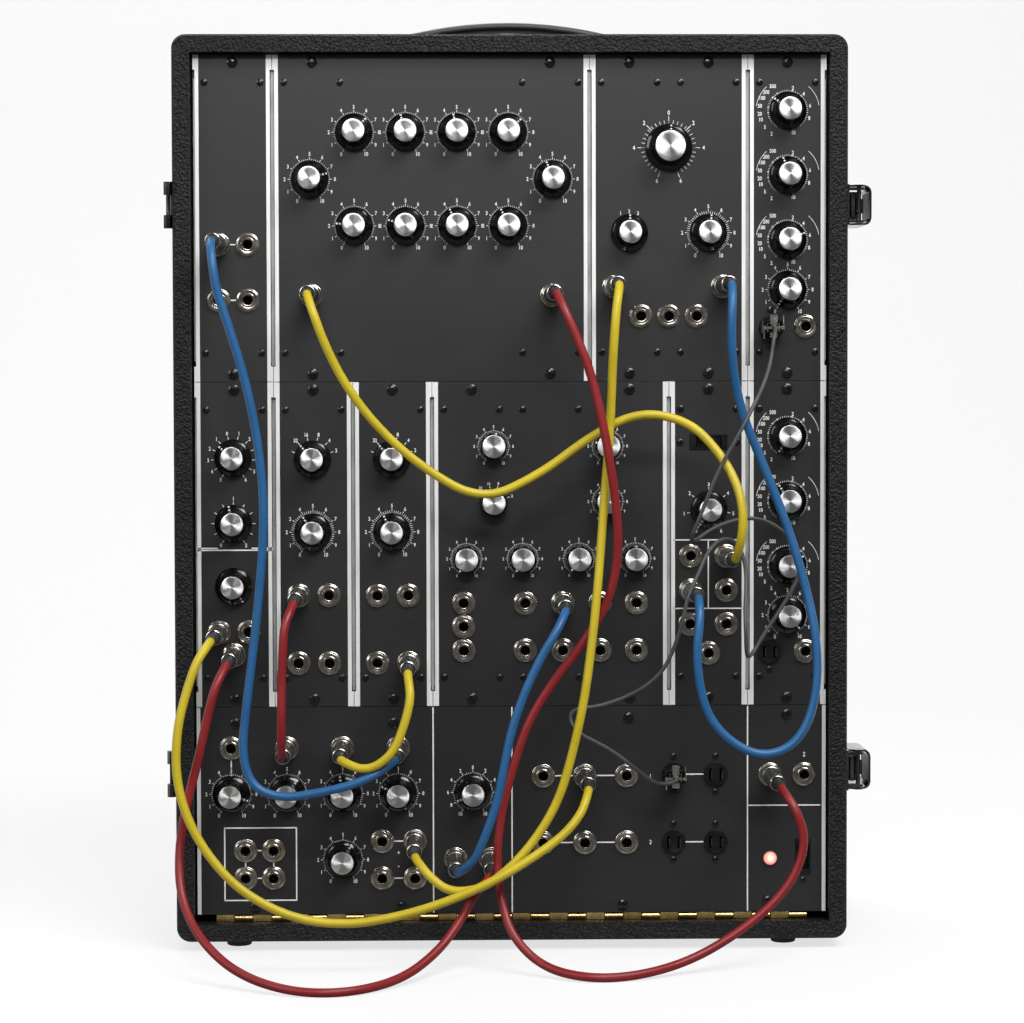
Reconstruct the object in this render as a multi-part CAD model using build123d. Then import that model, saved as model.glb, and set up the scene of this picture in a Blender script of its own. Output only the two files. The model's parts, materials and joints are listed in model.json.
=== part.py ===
from build123d import *
import os
from math import atan2, cos, degrees, pi, radians, sin, tan

# A modular synthesizer in a table-top case, in millimetres: X to the right, Y to the back, Z up.
# The origin is on the table, under the middle of the case with its fittings and knobs.

# The panel grid: modules are whole units wide, and the two upper rows are alike.
UNIT = 53.975
ROW_HEIGHT = 222.25
CONSOLE_HEIGHT = 142.875
UNITS_ACROSS = 8
PLATE = 3.2
PANEL_WIDTH = UNITS_ACROSS * UNIT
PANEL_HEIGHT = 2 * ROW_HEIGHT + CONSOLE_HEIGHT

# The case
CASE_WIDTH = 458.5
CASE_DEPTH = 235.0
WALL = 12.0
CORNER = 9.5
FRONT_EDGE = 10.0
TOP_GAP = 0.6
HINGE_GAP = 5.0
FOOT_HEIGHT = 7.0
FOOT_RADIUS = 9.5
FOOT_FLATS = 12
CASE_HEIGHT = PANEL_HEIGHT + TOP_GAP + HINGE_GAP + 2 * WALL
HINGE_PROUD = 6.0
LATCH_PROUD = 17.6
KNOB_TOP = 18.0

# Where the case's middle and the panels' front stand, so that the origin is in the middle of the box.
CASE_X = (HINGE_PROUD - LATCH_PROUD) / 2
PANEL_Y = (KNOB_TOP - (CASE_DEPTH - FRONT_EDGE)) / 2
FRONT_Y = PANEL_Y - FRONT_EDGE
BACK_Y = FRONT_Y + CASE_DEPTH
CASE_TOP = FOOT_HEIGHT + CASE_HEIGHT
PANEL_FOOT = FOOT_HEIGHT + WALL + HINGE_GAP
RIGHT_SIDE = CASE_X + CASE_WIDTH / 2
LEFT_SIDE = CASE_X - CASE_WIDTH / 2
FITTING_HEIGHTS = (CASE_TOP - 115.0, FOOT_HEIGHT + 115.0)

# Rows, counted from the top: the height of each row's lower edge
ROW_FOOT = {
    1: PANEL_FOOT + CONSOLE_HEIGHT + ROW_HEIGHT,
    2: PANEL_FOOT + CONSOLE_HEIGHT,
    3: PANEL_FOOT,
}

# Modules: first unit, units wide, row
MODULES = {
    "noise": (0, 1, 1),
    "bank": (1, 4, 1),
    "low_pass": (5, 2, 1),
    "envelope_1": (7, 1, 1),
    "driver": (0, 1, 2),
    "oscillator_1": (1, 1, 2),
    "oscillator_2": (2, 1, 2),
    "voltage_oscillator": (3, 3, 2),
    "amplifier": (6, 1, 2),
    "envelope_2": (7, 1, 2),
    "console": (0, 8, 3),
}

# Knobs: kind, distance right of the module's middle, height above the row's foot
BAND_PITCH = 35.0
LEVEL_PITCH = 38.5
MIXER_PITCH = 38.1
MIXER_FIRST = -192.2
KNOBS = {
    "bank": {
        "bank_band_1_knob": ("skirted", -1.5 * BAND_PITCH, 169.5),
        "bank_band_2_knob": ("skirted", -0.5 * BAND_PITCH, 169.5),
        "bank_band_3_knob": ("skirted", 0.5 * BAND_PITCH, 169.5),
        "bank_band_4_knob": ("skirted", 1.5 * BAND_PITCH, 169.5),
        "bank_band_5_knob": ("skirted", -1.5 * BAND_PITCH, 106.0),
        "bank_band_6_knob": ("skirted", -0.5 * BAND_PITCH, 106.0),
        "bank_band_7_knob": ("skirted", 0.5 * BAND_PITCH, 106.0),
        "bank_band_8_knob": ("skirted", 1.5 * BAND_PITCH, 106.0),
        "bank_lowest_knob": ("skirted", -82.6, 137.7),
        "bank_highest_knob": ("skirted", 82.6, 137.7),
    },
    "low_pass": {
        "low_pass_cutoff_knob": ("large", 0.0, 158.9),
        "low_pass_range_knob": ("skirted", -27.0, 101.1),
        "low_pass_feedback_knob": ("skirted", 27.0, 101.1),
    },
    "envelope_1": {
        "envelope_1_attack_knob": ("skirted", 0.3, 184.2),
        "envelope_1_decay_knob": ("skirted", 0.3, 140.3),
        "envelope_1_release_knob": ("skirted", 0.3, 96.2),
        "envelope_1_sustain_knob": ("skirted", 0.3, 62.3),
    },
    "driver": {
        "driver_scale_knob": ("skirted", -0.8, 170.5),
        "driver_frequency_knob": ("skirted", -0.8, 125.7),
        "driver_width_knob": ("skirted", -0.8, 82.8),
    },
    "oscillator_1": {
        "oscillator_1_frequency_knob": ("skirted", -0.6, 169.6),
        "oscillator_1_range_knob": ("skirted", -0.6, 119.7),
    },
    "oscillator_2": {
        "oscillator_2_frequency_knob": ("skirted", -0.6, 169.6),
        "oscillator_2_range_knob": ("skirted", -0.6, 119.7),
    },
    "voltage_oscillator": {
        "voltage_oscillator_frequency_knob": ("plain", -39.0, 178.0),
        "voltage_oscillator_range_knob": ("plain", -39.0, 139.5),
        "voltage_oscillator_width_knob": ("plain", 39.0, 178.0),
        "voltage_oscillator_depth_knob": ("plain", 39.0, 140.0),
        "voltage_oscillator_level_1_knob": ("plain", -1.5 * LEVEL_PITCH, 101.0),
        "voltage_oscillator_level_2_knob": ("plain", -0.5 * LEVEL_PITCH, 101.0),
        "voltage_oscillator_level_3_knob": ("plain", 0.5 * LEVEL_PITCH, 101.0),
        "voltage_oscillator_level_4_knob": ("plain", 1.5 * LEVEL_PITCH, 101.0),
    },
    "amplifier": {
        "amplifier_gain_knob": ("skirted", 0.3, 134.5),
    },
    "envelope_2": {
        "envelope_2_attack_knob": ("skirted", 0.4, 184.4),
        "envelope_2_decay_knob": ("skirted", 0.4, 140.2),
        "envelope_2_release_knob": ("skirted", 0.4, 96.0),
        "envelope_2_sustain_knob": ("skirted", 0.4, 61.8),
    },
    "console": {
        "mixer_1_knob": ("skirted", MIXER_FIRST, 83.1),
        "mixer_2_knob": ("skirted", MIXER_FIRST + MIXER_PITCH, 83.1),
        "mixer_3_knob": ("skirted", MIXER_FIRST + 2 * MIXER_PITCH, 83.1),
        "mixer_4_knob": ("skirted", MIXER_FIRST + 3 * MIXER_PITCH, 83.1),
        "mixer_master_knob": ("skirted", MIXER_FIRST + 2 * MIXER_PITCH, 37.6),
        "attenuator_knob": ("skirted", -26.8, 83.6),
    },
}

# Jacks: distance right of the module's middle, height above the row's foot, and what is in the bore:
# a plug, nothing but air ahead of it (open), or nothing and a cord hanging across it (crossed)
JACKS = {
    "noise": {
        "white_1": (-10.0, 93.4, "plug"),
        "white_2": (10.0, 93.4, "open"),
        "pink_1": (-10.0, 55.6, "crossed"),
        "pink_2": (10.0, 55.6, "crossed"),
    },
    "bank": {
        "bank_in": (-82.2, 58.7, "plug"),
        "bank_out": (82.2, 58.7, "plug"),
    },
    "low_pass": {
        "low_pass_in": (-37.4, 64.5, "plug"),
        "low_pass_out": (36.8, 64.5, "plug"),
        "low_pass_control_1": (-19.0, 44.3, "open"),
        "low_pass_control_2": (0.0, 44.3, "open"),
        "low_pass_control_3": (19.0, 44.3, "open"),
    },
    "envelope_1": {
        "envelope_1_out": (12.7, 37.1, "open"),
    },
    "driver": {
        "driver_in": (-10.9, 51.5, "plug"),
        "driver_control": (9.3, 51.5, "crossed"),
        "driver_out": (-0.8, 35.8, "plug"),
    },
    "oscillator_1": {
        "oscillator_1_tooth": (-10.4, 76.4, "plug"),
        "oscillator_1_sine": (10.2, 76.4, "crossed"),
        "oscillator_1_pulse": (-10.7, 30.0, "open"),
        "oscillator_1_triangle": (10.5, 30.0, "open"),
    },
    "oscillator_2": {
        "oscillator_2_tooth": (-10.7, 76.1, "open"),
        "oscillator_2_sine": (10.4, 76.1, "crossed"),
        "oscillator_2_pulse": (-10.8, 30.0, "open"),
        "oscillator_2_triangle": (10.6, 30.0, "plug"),
    },
    "voltage_oscillator": {
        "voltage_oscillator_control_1": (-59.7, 70.7, "crossed"),
        "voltage_oscillator_control_2": (-59.7, 54.6, "crossed"),
        "voltage_oscillator_control_3": (-59.7, 38.2, "crossed"),
        "voltage_oscillator_fixed_1": (-17.6, 70.6, "crossed"),
        "voltage_oscillator_fixed_2": (8.2, 70.8, "plug"),
        "voltage_oscillator_fixed_3": (33.7, 70.6, "crossed"),
        "voltage_oscillator_fixed_4": (58.7, 70.6, "crossed"),
        "voltage_oscillator_variable_1": (-17.6, 38.2, "crossed"),
        "voltage_oscillator_variable_2": (8.2, 38.2, "crossed"),
        "voltage_oscillator_variable_3": (33.7, 38.2, "crossed"),
        "voltage_oscillator_variable_4": (58.7, 38.2, "crossed"),
    },
    "amplifier": {
        "amplifier_signal_1": (-12.1, 102.6, "crossed"),
        "amplifier_control": (12.1, 102.5, "plug"),
        "amplifier_signal_2": (-12.1, 79.0, "plug"),
        "amplifier_control_2": (12.4, 79.0, "crossed"),
        "amplifier_signal_3": (-12.6, 55.8, "crossed"),
        "amplifier_control_3": (12.4, 55.8, "crossed"),
        "amplifier_out": (0.1, 35.9, "crossed"),
    },
    "envelope_2": {
        "envelope_2_out": (12.7, 36.9, "crossed"),
    },
    "console": {
        "mixer_in_1": (MIXER_FIRST, 114.6, "crossed"),
        "mixer_in_2": (MIXER_FIRST + MIXER_PITCH, 114.6, "plug"),
        "mixer_in_3": (MIXER_FIRST + 2 * MIXER_PITCH, 114.6, "plug"),
        "mixer_in_4": (MIXER_FIRST + 3 * MIXER_PITCH, 114.6, "plug"),
        "multiple_1": (-182.7, 44.2, "open"),
        "multiple_2": (-163.5, 44.2, "open"),
        "multiple_3": (-182.7, 25.1, "crossed"),
        "multiple_4": (-163.5, 25.1, "open"),
        "mixer_out_1": (-89.1, 50.2, "open"),
        "mixer_out_2": (-66.6, 50.2, "plug"),
        "mixer_out_3": (-89.1, 24.7, "open"),
        "mixer_out_4": (-66.6, 24.7, "crossed"),
        "attenuator_in": (-38.7, 37.7, "plug"),
        "attenuator_out": (-14.8, 37.7, "plug"),
        "controller_1": (21.4, 94.7, "crossed"),
        "controller_2": (50.0, 94.7, "plug"),
        "controller_3": (78.7, 94.7, "crossed"),
        "controller_4": (21.4, 48.6, "crossed"),
        "controller_5": (50.0, 48.6, "crossed"),
        "controller_6": (78.7, 48.6, "open"),
        "trunk_1": (177.4, 95.0, "plug"),
        "trunk_2": (200.8, 95.0, "open"),
    },
}

# Trigger sockets: distance right of the module's middle, height above the row's foot, and plugged or free
TRIGGERS = {
    "envelope_1": {"envelope_1_trigger": (-11.5, 36.2, "plug")},
    "envelope_2": {"envelope_2_trigger": (-12.0, 36.7, "free")},
    "console": {
        "trigger_1": (111.0, 95.3, "plug"),
        "trigger_2": (139.9, 95.3, "free"),
        "trigger_3": (111.0, 48.6, "free"),
        "trigger_4": (139.9, 48.6, "free"),
    },
}

# Bare panel edges, and the slots that show the module flanges
SIDE_GAP = 0.2
SLOT_INSET = 1.3
EDGE_TAB = 10.7

# Knobs repeat by the dozen, so their round outlines are drawn with flats.
SKIRT_FLATS = 12
FLUTES = 8
FLUTE_DEPTH = 0.8
SKIRT_RISE = 4.4
SKIRT_STEP = 0.6
KNOB_CLEAR = 0.8
SHAFT_RADIUS = 3.0
SHAFT_FLATS = 6
CAN = 17.0
SHAFT_BACK = 11.7
KNOB_KINDS = {"skirted": (12.7, 8.0, 17.2), "large": (15.9, 10.6, KNOB_TOP), "plain": (None, 9.8, 16.0)}

# Jacks and plugs
NUT_CORNERS = 7.9
NUT_THICK = 3.2
BORE_RADIUS = 3.2
NECK_RADIUS = 4.7
NECK_FLATS = 6
NECK_BACK = 12.0
NECK_HOLE = 5.0
PLUG_SHAFT = 2.9
PLUG_BACK = 28.0
PLUG_SIDES = 8
COLLAR_RADIUS = 7.0
COLLAR_END = 12.0
BARREL_RADIUS = 6.3
BARREL_END_RADIUS = 5.3
BARREL_END = 50.0
SLEEVE_RADIUS = 3.9
SLEEVE_END = 53.0

# Trigger sockets, switches and the lamp
SOCKET_RADIUS = 8.15
SOCKET_SIDES = 12
SOCKET_THICK = 2.2
SOCKET_NECK = 6.6
SOCKET_BACK = 12.0
TRIGGER_END = 27.0
BLADE_SLOT = (2.2, 8.4)
BLADE_PITCH = 7.2
POWER_FRAME = (10.3, 24.4)
POWER_POCKET = (8.4, 16.8)
POWER_PLACE = (200.1, 38.0)
MODE_FRAME = (25.4, 10.2)
MODE_POCKET = (17.6, 8.2)
MODE_PLACE = (0.1, 180.4)
FRAME_PROUD = 0.6
FRAME_BACK = 12.0
POCKET_DEPTH = 8.0
SLIDER_GAP = 0.3
SLIDER_LENGTH = 9.0
LAMP_PLACE = (177.4, 37.2)
LAMP_RADIUS = 5.1
LAMP_NECK = 4.0
LAMP_BEZEL = 1.6
LAMP_DOME = (2.0, 4.4)
LAMP_FLATS = 10

# Patch cords hang clear of the panels: they leave a plug straight ahead, and three turns of 30 degrees
# lay them along it. A route gives, at each end, the socket and the way the cord leaves it (degrees
# clockwise from straight up), and between them its points: right of the case's middle, ahead of the
# panels, and up from the panels' foot.
CORD_RADIUS = 2.95
CORD_SIDES = 4
CORD_RUN = 12.0
CORDS = {
    "blue_long": (
        ("white_1", 172),
        [
            (-194, 81, 424), (-185, 79, 397), (-175, 76, 363), (-167, 73, 320), (-164, 71, 277),
            (-167, 70, 234), (-172, 70, 188), (-177, 71, 148), (-180, 72, 119), (-173, 73, 97),
            (-153, 75, 90), (-129, 78, 94), (-108, 81, 99),
        ],
        ("mixer_in_4", 238),
    ),
    "yellow_arch": (
        ("bank_in", 160),
        [
            (-124, 80, 390), (-112, 76, 365), (-92, 70, 337), (-62, 66, 309), (-21, 62, 285),
            (18, 59, 303), (51, 58, 328), (84, 60, 345), (117, 62, 338), (136, 67, 318),
            (147, 76, 298), (151, 82, 279),
        ],
        ("amplifier_control", 10),
    ),
    "red_long": (
        ("bank_out", 156),
        [
            (43, 82, 390), (51, 82, 369), (58, 82, 340), (63, 82, 313), (68, 80, 280),
            (69, 77, 247), (62, 73, 217), (45, 70, 190), (26, 69, 166), (9, 69, 139),
            (-1, 70, 109), (-9, 70, 78), (-12, 72, 47), (-9, 78, 22), (-2, 92, 0),
            (18, 104, -18), (47, 127, -21), (80, 118, -21), (116, 97, -15), (149, 90, 3),
            (175, 85, 24), (188, 83, 44), (192, 82, 64),
        ],
        ("trunk_1", 148),
    ),
    "yellow_long": (
        ("low_pass_in", 190),
        [
            (66, 82, 393), (65, 76, 369), (64, 72, 336), (61, 71, 299), (58, 74, 263),
            (55, 79, 227), (51, 82, 191), (46, 84, 155), (38, 84, 119), (29, 82, 88),
            (13, 84, 62), (-5, 88, 43), (-23, 89, 31), (-43, 86, 29),
        ],
        ("mixer_out_2", 138),
    ),
    "yellow_low": (
        ("driver_in", 213),
        [
            (-215, 84, 162), (-221, 88, 138), (-222, 90, 108), (-215, 92, 80), (-201, 93, 55),
            (-180, 95, 32), (-147, 95, 14), (-111, 95, 9), (-75, 96, 15), (-43, 97, 25),
            (-12, 98, 39), (14, 93, 54), (33, 87, 67),
        ],
        ("controller_2", 202),
    ),
    "red_loop": (
        ("driver_out", 205),
        [
            (-202, 81, 143), (-208, 79, 116), (-216, 79, 87), (-221, 82, 57), (-219, 93, 28),
            (-206, 114, 5), (-180, 138, -14), (-144, 164, -21), (-107, 168, -21), (-74, 131, -20),
            (-51, 106, -7), (-37, 90, 9),
        ],
        ("attenuator_out", 226),
    ),
    "red_short": (
        ("oscillator_1_tooth", 200),
        [(-152, 82, 187), (-153, 80, 168), (-153, 82, 149)],
        ("mixer_in_2", 3),
    ),
    "yellow_short": (
        ("oscillator_2_triangle", 172),
        [(-72, 83, 142), (-80, 84, 128), (-90, 83, 119)],
        ("mixer_in_3", 88),
    ),
    "blue_right": (
        ("low_pass_out", 184),
        [
            (143, 81, 393), (145, 75, 370), (151, 68, 344), (162, 65, 318), (174, 65, 289),
            (185, 66, 259), (194, 68, 227), (200, 73, 197), (201, 76, 166), (195, 78, 139),
            (182, 80, 122), (162, 81, 117), (142, 81, 127), (128, 81, 143), (122, 81, 164),
            (120, 82, 187),
        ],
        ("amplifier_signal_2", 182),
    ),
    "blue_short": (
        ("voltage_oscillator_fixed_2", 208),
        [(18, 82, 184), (7, 83, 161), (-2, 84, 136), (-7, 85, 111), (-12, 85, 86), (-20, 84, 64)],
        ("attenuator_in", 48),
    ),
}

# The thin cord between two trigger plugs loops behind and before the patch cords.
TRIGGER_CORD_RADIUS = 1.35
TRIGGER_CORD_SIDES = 3
TRIGGER_CORD_RUN = 7.0
TRIGGER_CORD = (
    ("envelope_1_trigger", 195),
    [
        (173, 46, 379), (168, 57, 365), (157, 73, 345), (146, 77, 325), (135, 77, 306),
        (127, 76, 286), (121, 74, 270), (117, 69, 260), (121, 56, 258), (131, 51, 265),
        (144, 50, 271), (163, 48, 274), (180, 46, 266), (191, 44, 253), (194, 43, 240),
        (189, 43, 227), (180, 44, 212), (169, 45, 196), (160, 47, 181), (155, 62, 181),
        (154, 68, 195), (154, 62, 213), (156, 52, 229), (156, 44, 243), (151, 42, 257),
        (140, 47, 260), (130, 56, 252), (123, 63, 237), (115, 68, 221), (112, 67, 205),
        (107, 64, 188), (99, 62, 171), (83, 60, 158), (61, 57, 149), (46, 57, 147),
        (38, 65, 146), (37, 73, 140), (43, 75, 132), (54, 73, 126), (65, 70, 120),
        (82, 61, 106), (94, 50, 96),
    ],
    ("trigger_1", 262),
)

# Piano hinge under the console
HINGE_LENGTH = 406.4
KNUCKLES = 32
KNUCKLE_RADIUS = 2.4
KNUCKLE_FLATS = 6
LEAF = 1.0
LEAF_DEPTH = 16.0

# Carrying handle
HANDLE_RISE = 21.4
HANDLE_HALF = 92.0
STRAP_THICK = 6.0
STRAP_WIDTH = 27.0
HANDLE_CAP = 17.0

# Draw latches and lid hinges
LATCH_TALL = 27.5
LATCH_WALL = 1.4
LATCH_PIVOT_OUT = 9.0
LATCH_PIVOT_BACK = 12.0
LEVER_LENGTH = 38.0
LEVER_AHEAD = 1.0
LATCH_PIN = 1.5

# Inside
FLANGE = 1.1
FLANGE_DEPTH = 60.0
RAIL = (16.0, 12.0)
BOARD = 1.6


def facing(x, z):
    """A plane in the panels' front: its X runs right, its Y up, and its Z towards the player."""
    return Plane(origin=(x, PANEL_Y, z), x_dir=(1, 0, 0), z_dir=(0, -1, 0))


def module_middle(module):
    first, units, row = MODULES[module]
    return CASE_X + (first + units / 2 - UNITS_ACROSS / 2) * UNIT, ROW_FOOT[row]


def place(module, right, up):
    x, z = module_middle(module)
    return x + right, z + up


def places(table):
    """Every entry of a table of modules, with its place in the model."""
    for module, entries in table.items():
        for name, entry in entries.items():
            yield module, name, entry


def ring_points(radius, sides):
    step = 2 * pi / sides
    return [(radius * cos((i + 0.5) * step), radius * sin((i + 0.5) * step)) for i in range(sides)]


def flat_sided(radius, sides):
    """A round outline drawn with flats."""
    return make_face(Polyline(*ring_points(radius, sides), close=True))


def column(plane, outline, start, end):
    """An outline extruded between two heights above a plane."""
    return extrude(plane.offset(start) * outline, end - start)


def tapered(plane, radius, end_radius, sides, start, end):
    """A flat-sided column that narrows from one radius to another."""
    draw_in = (radius - end_radius) * cos(pi / sides)
    slope = degrees(atan2(draw_in, end - start))
    return extrude(plane.offset(start) * flat_sided(radius, sides), end - start, taper=slope)


def block(x0, y0, z0, x1, y1, z1):
    return Pos((x0 + x1) / 2, (y0 + y1) / 2, (z0 + z1) / 2) * Box(x1 - x0, y1 - y0, z1 - z0)


def cabinet_shell():
    """The plywood case, open at the front, with its edges rounded as the covering lies on them."""
    middle = Plane(origin=(CASE_X, FRONT_Y, FOOT_HEIGHT + CASE_HEIGHT / 2), x_dir=(1, 0, 0), z_dir=(0, 1, 0))
    outside = extrude(middle * RectangleRounded(CASE_WIDTH, CASE_HEIGHT, CORNER), CASE_DEPTH)
    outside = chamfer(outside.faces().filter_by(Axis.Y).edges(), 1.5)
    inside = extrude(middle * Rectangle(CASE_WIDTH - 2 * WALL, CASE_HEIGHT - 2 * WALL), CASE_DEPTH - WALL)
    inlet = block(*INLET_CUT)
    return outside - inside - inlet


def rubber_feet():
    """Four tapered rubber feet."""
    spread_x, front, back = 189.0, FRONT_Y + 30, BACK_Y - 30
    spots = [(CASE_X + side * spread_x, y) for side in (-1, 1) for y in (front, back)]
    under = [Plane(origin=(x, y, FOOT_HEIGHT), z_dir=(0, 0, -1)) for x, y in spots]
    return Compound([tapered(plane, FOOT_RADIUS, FOOT_RADIUS - 1, FOOT_FLATS, 0, FOOT_HEIGHT) for plane in under])


def carry_handle():
    """A strap that bows up from cap to cap along one arc."""
    middle = Plane(origin=(CASE_X, (FRONT_Y + BACK_Y) / 2, CASE_TOP), x_dir=(1, 0, 0), z_dir=(0, -1, 0))
    low = 1.0
    top = ThreePointArc((-HANDLE_HALF, low + STRAP_THICK), (0, HANDLE_RISE), (HANDLE_HALF, low + STRAP_THICK))
    under = ThreePointArc((HANDLE_HALF, low), (0, HANDLE_RISE - STRAP_THICK), (-HANDLE_HALF, low))
    ends = [
        Line((HANDLE_HALF, low + STRAP_THICK), (HANDLE_HALF, low)),
        Line((-HANDLE_HALF, low), (-HANDLE_HALF, low + STRAP_THICK)),
    ]
    strap = extrude(middle * make_face([top, under, *ends]), STRAP_WIDTH / 2, both=True)
    return Compound([strap])


def metal_fittings():
    """Handle end caps, the lid hinge halves on the left and the latch bases on the right."""
    pieces = []
    across = STRAP_WIDTH / 2 + 2
    depth = (FRONT_Y + BACK_Y) / 2
    for side in (-1, 1):
        inner, outer = HANDLE_HALF, HANDLE_HALF + HANDLE_CAP
        profile = Polyline((inner, 0), (outer, 0), (outer, 3), (outer - 5, 10), (inner, 11), close=True)
        plane = Plane(origin=(CASE_X, depth, CASE_TOP), x_dir=(side, 0, 0), z_dir=(0, -side, 0))
        pieces.append(extrude(plane * make_face(profile), across, both=True))
    for z in FITTING_HEIGHTS:
        pieces += [lid_hinge(z), latch_base(z)]
    return Compound([solid for piece in pieces for solid in piece.solids()])


def lid_hinge(z):
    """A lift-off hinge half: a leaf on the case's side, and two knuckles on one pin."""
    half, knuckle, pin = 15.8, 9.0, 1.6
    leaf = block(LEFT_SIDE - 1.6, FRONT_Y + 6, z - half, LEFT_SIDE, FRONT_Y + 30, z + half)
    axis = (LEFT_SIDE - HINGE_PROUD / 2, FRONT_Y + 5)
    barrels = [
        Pos(*axis, low) * extrude(flat_sided(HINGE_PROUD / 2 / cos(pi / 8), 8), knuckle)
        for low in (z - half, z + half - knuckle)
    ]
    rod = Pos(*axis, z - half) * extrude(flat_sided(pin, 6), 2 * half)
    return leaf + barrels + rod


def latch_pivot(z):
    return Vector(RIGHT_SIDE + LATCH_PIVOT_OUT, FRONT_Y + LATCH_PIVOT_BACK, z)


def latch_base(z):
    """The latch's fixed half: a plate with two ears that hold the lever's pin."""
    half = LATCH_TALL / 2
    pivot = latch_pivot(z)
    plate = block(RIGHT_SIDE, pivot.Y - 8, z - half, RIGHT_SIDE + 1.5, pivot.Y + 30, z + half)
    ear_top = half - LATCH_WALL - 0.4
    for side in (-1, 1):
        low, high = sorted((side * ear_top, side * (ear_top - 1.6)))
        plate += block(RIGHT_SIDE + 1, pivot.Y - 3, z + low, pivot.X + 3, pivot.Y + 3, z + high)
    pin_half = half - 0.1
    pin = Pos(pivot.X, pivot.Y, z - pin_half) * extrude(flat_sided(LATCH_PIN, 8), 2 * pin_half)
    return plate + pin


def latch_lever(z):
    """The latch's lever: a folded channel with rounded edges, open at both ends."""
    pivot = latch_pivot(z)
    out, inner = LATCH_PROUD, 2.4
    front, back = pivot.Y - LEVER_AHEAD, pivot.Y - LEVER_AHEAD + LEVER_LENGTH
    plane = Plane(origin=(RIGHT_SIDE, front, z), x_dir=(1, 0, 0), z_dir=(0, 1, 0))
    half, bend = LATCH_TALL / 2, 5.0

    def channel(wall):
        reach, tall, turn = out - wall, half - wall, bend - wall
        leans = [radians(angle) for angle in (0, 30, 60, 90)]
        upper = [(reach - turn + turn * cos(a), tall - turn + turn * sin(a)) for a in leans]
        lower = [(x, -y) for x, y in upper]
        return make_face(Polyline((inner, -tall), *reversed(lower), *upper, (inner, tall), close=True))

    lever = extrude(plane * (channel(0) - channel(LATCH_WALL)), back - front)
    bore = extrude(flat_sided((LATCH_PIN + 0.1) / cos(pi / 8), 8), LATCH_TALL + 2)
    eye = extrude(flat_sided(4.2, 10), LATCH_WALL)
    for low in (z - half, z + half - LATCH_WALL):
        lever += Pos(pivot.X, pivot.Y, low) * eye
    return lever - Pos(pivot.X, pivot.Y, z - half - 1) * bore


def chassis_and_boards():
    """What carries the panels and fills the case: rails, posts, flanges, boards, pots and the supply."""
    pieces = []
    behind = PANEL_Y + PLATE
    half = PANEL_WIDTH / 2
    rail_tall, rail_deep = RAIL
    rail_heights = [
        PANEL_FOOT + rail_tall / 2 + 2,
        ROW_FOOT[2],
        ROW_FOOT[1],
        PANEL_FOOT + PANEL_HEIGHT - rail_tall / 2,
    ]
    for z in rail_heights:
        low, high = z - rail_tall / 2, z + rail_tall / 2
        pieces.append(block(CASE_X - half, behind, low, CASE_X + half, behind + rail_deep, high))
        for side in (-1, 1):
            x0, x1 = sorted((CASE_X + side * (half - 10), CASE_X + side * half))
            pieces.append(block(x0, behind + rail_deep, low, x1, behind + FLANGE_DEPTH + 4, high))
    for side in (-1, 1):
        x0, x1 = sorted((CASE_X + side * (half - 10), CASE_X + side * half))
        post_y = behind + FLANGE_DEPTH + 4
        pieces.append(block(x0, post_y, PANEL_FOOT, x1, post_y + 12, PANEL_FOOT + PANEL_HEIGHT))
    for module, (first, units, row) in MODULES.items():
        x, z = module_middle(module)
        wide = units * UNIT / 2 - 0.15
        tall = CONSOLE_HEIGHT if row == 3 else ROW_HEIGHT
        low, high = z + rail_tall / 2 + 6, z + tall - rail_tall / 2 - 2
        if row == 3:
            low += rail_tall / 2
        for side in (-1, 1):
            x0, x1 = sorted((x + side * (wide - FLANGE), x + side * wide))
            pieces.append(block(x0, behind, low, x1, behind + FLANGE_DEPTH, high))
        board_y = behind + FLANGE_DEPTH - BOARD - 8
        pieces.append(block(x - wide + FLANGE, board_y, low, x + wide - FLANGE, board_y + BOARD, high))
    for module, name, (kind, right, up) in places(KNOBS):
        front = facing(*place(module, right, up))
        pieces.append(column(front, Rectangle(CAN, CAN), -SHAFT_BACK - 10, -SHAFT_BACK - 0.3))
    floor = FOOT_HEIGHT + WALL
    pieces.append(block(CASE_X - 90, BACK_Y - WALL - 90, floor, CASE_X + 60, BACK_Y - WALL - 10, floor + 55))
    pieces.append(block(CASE_X + 80, BACK_Y - WALL - 80, floor, CASE_X + 150, BACK_Y - WALL - 15, floor + 62))
    return Compound([solid for piece in pieces for solid in piece.solids()])


def plate_outline(width, height, notched):
    """A panel's outline about the middle of its lower edge, with a notch in each long side."""
    half = width / 2
    if not notched:
        return Pos(0, height / 2) * Rectangle(width, height)
    inner, low, high = half - SLOT_INSET, EDGE_TAB, height - EDGE_TAB
    right = [(half, 0), (half, low), (inner, low), (inner, high), (half, high), (half, height)]
    return make_face(Polyline(*right, *[(-x, y) for x, y in reversed(right)], close=True))


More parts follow.
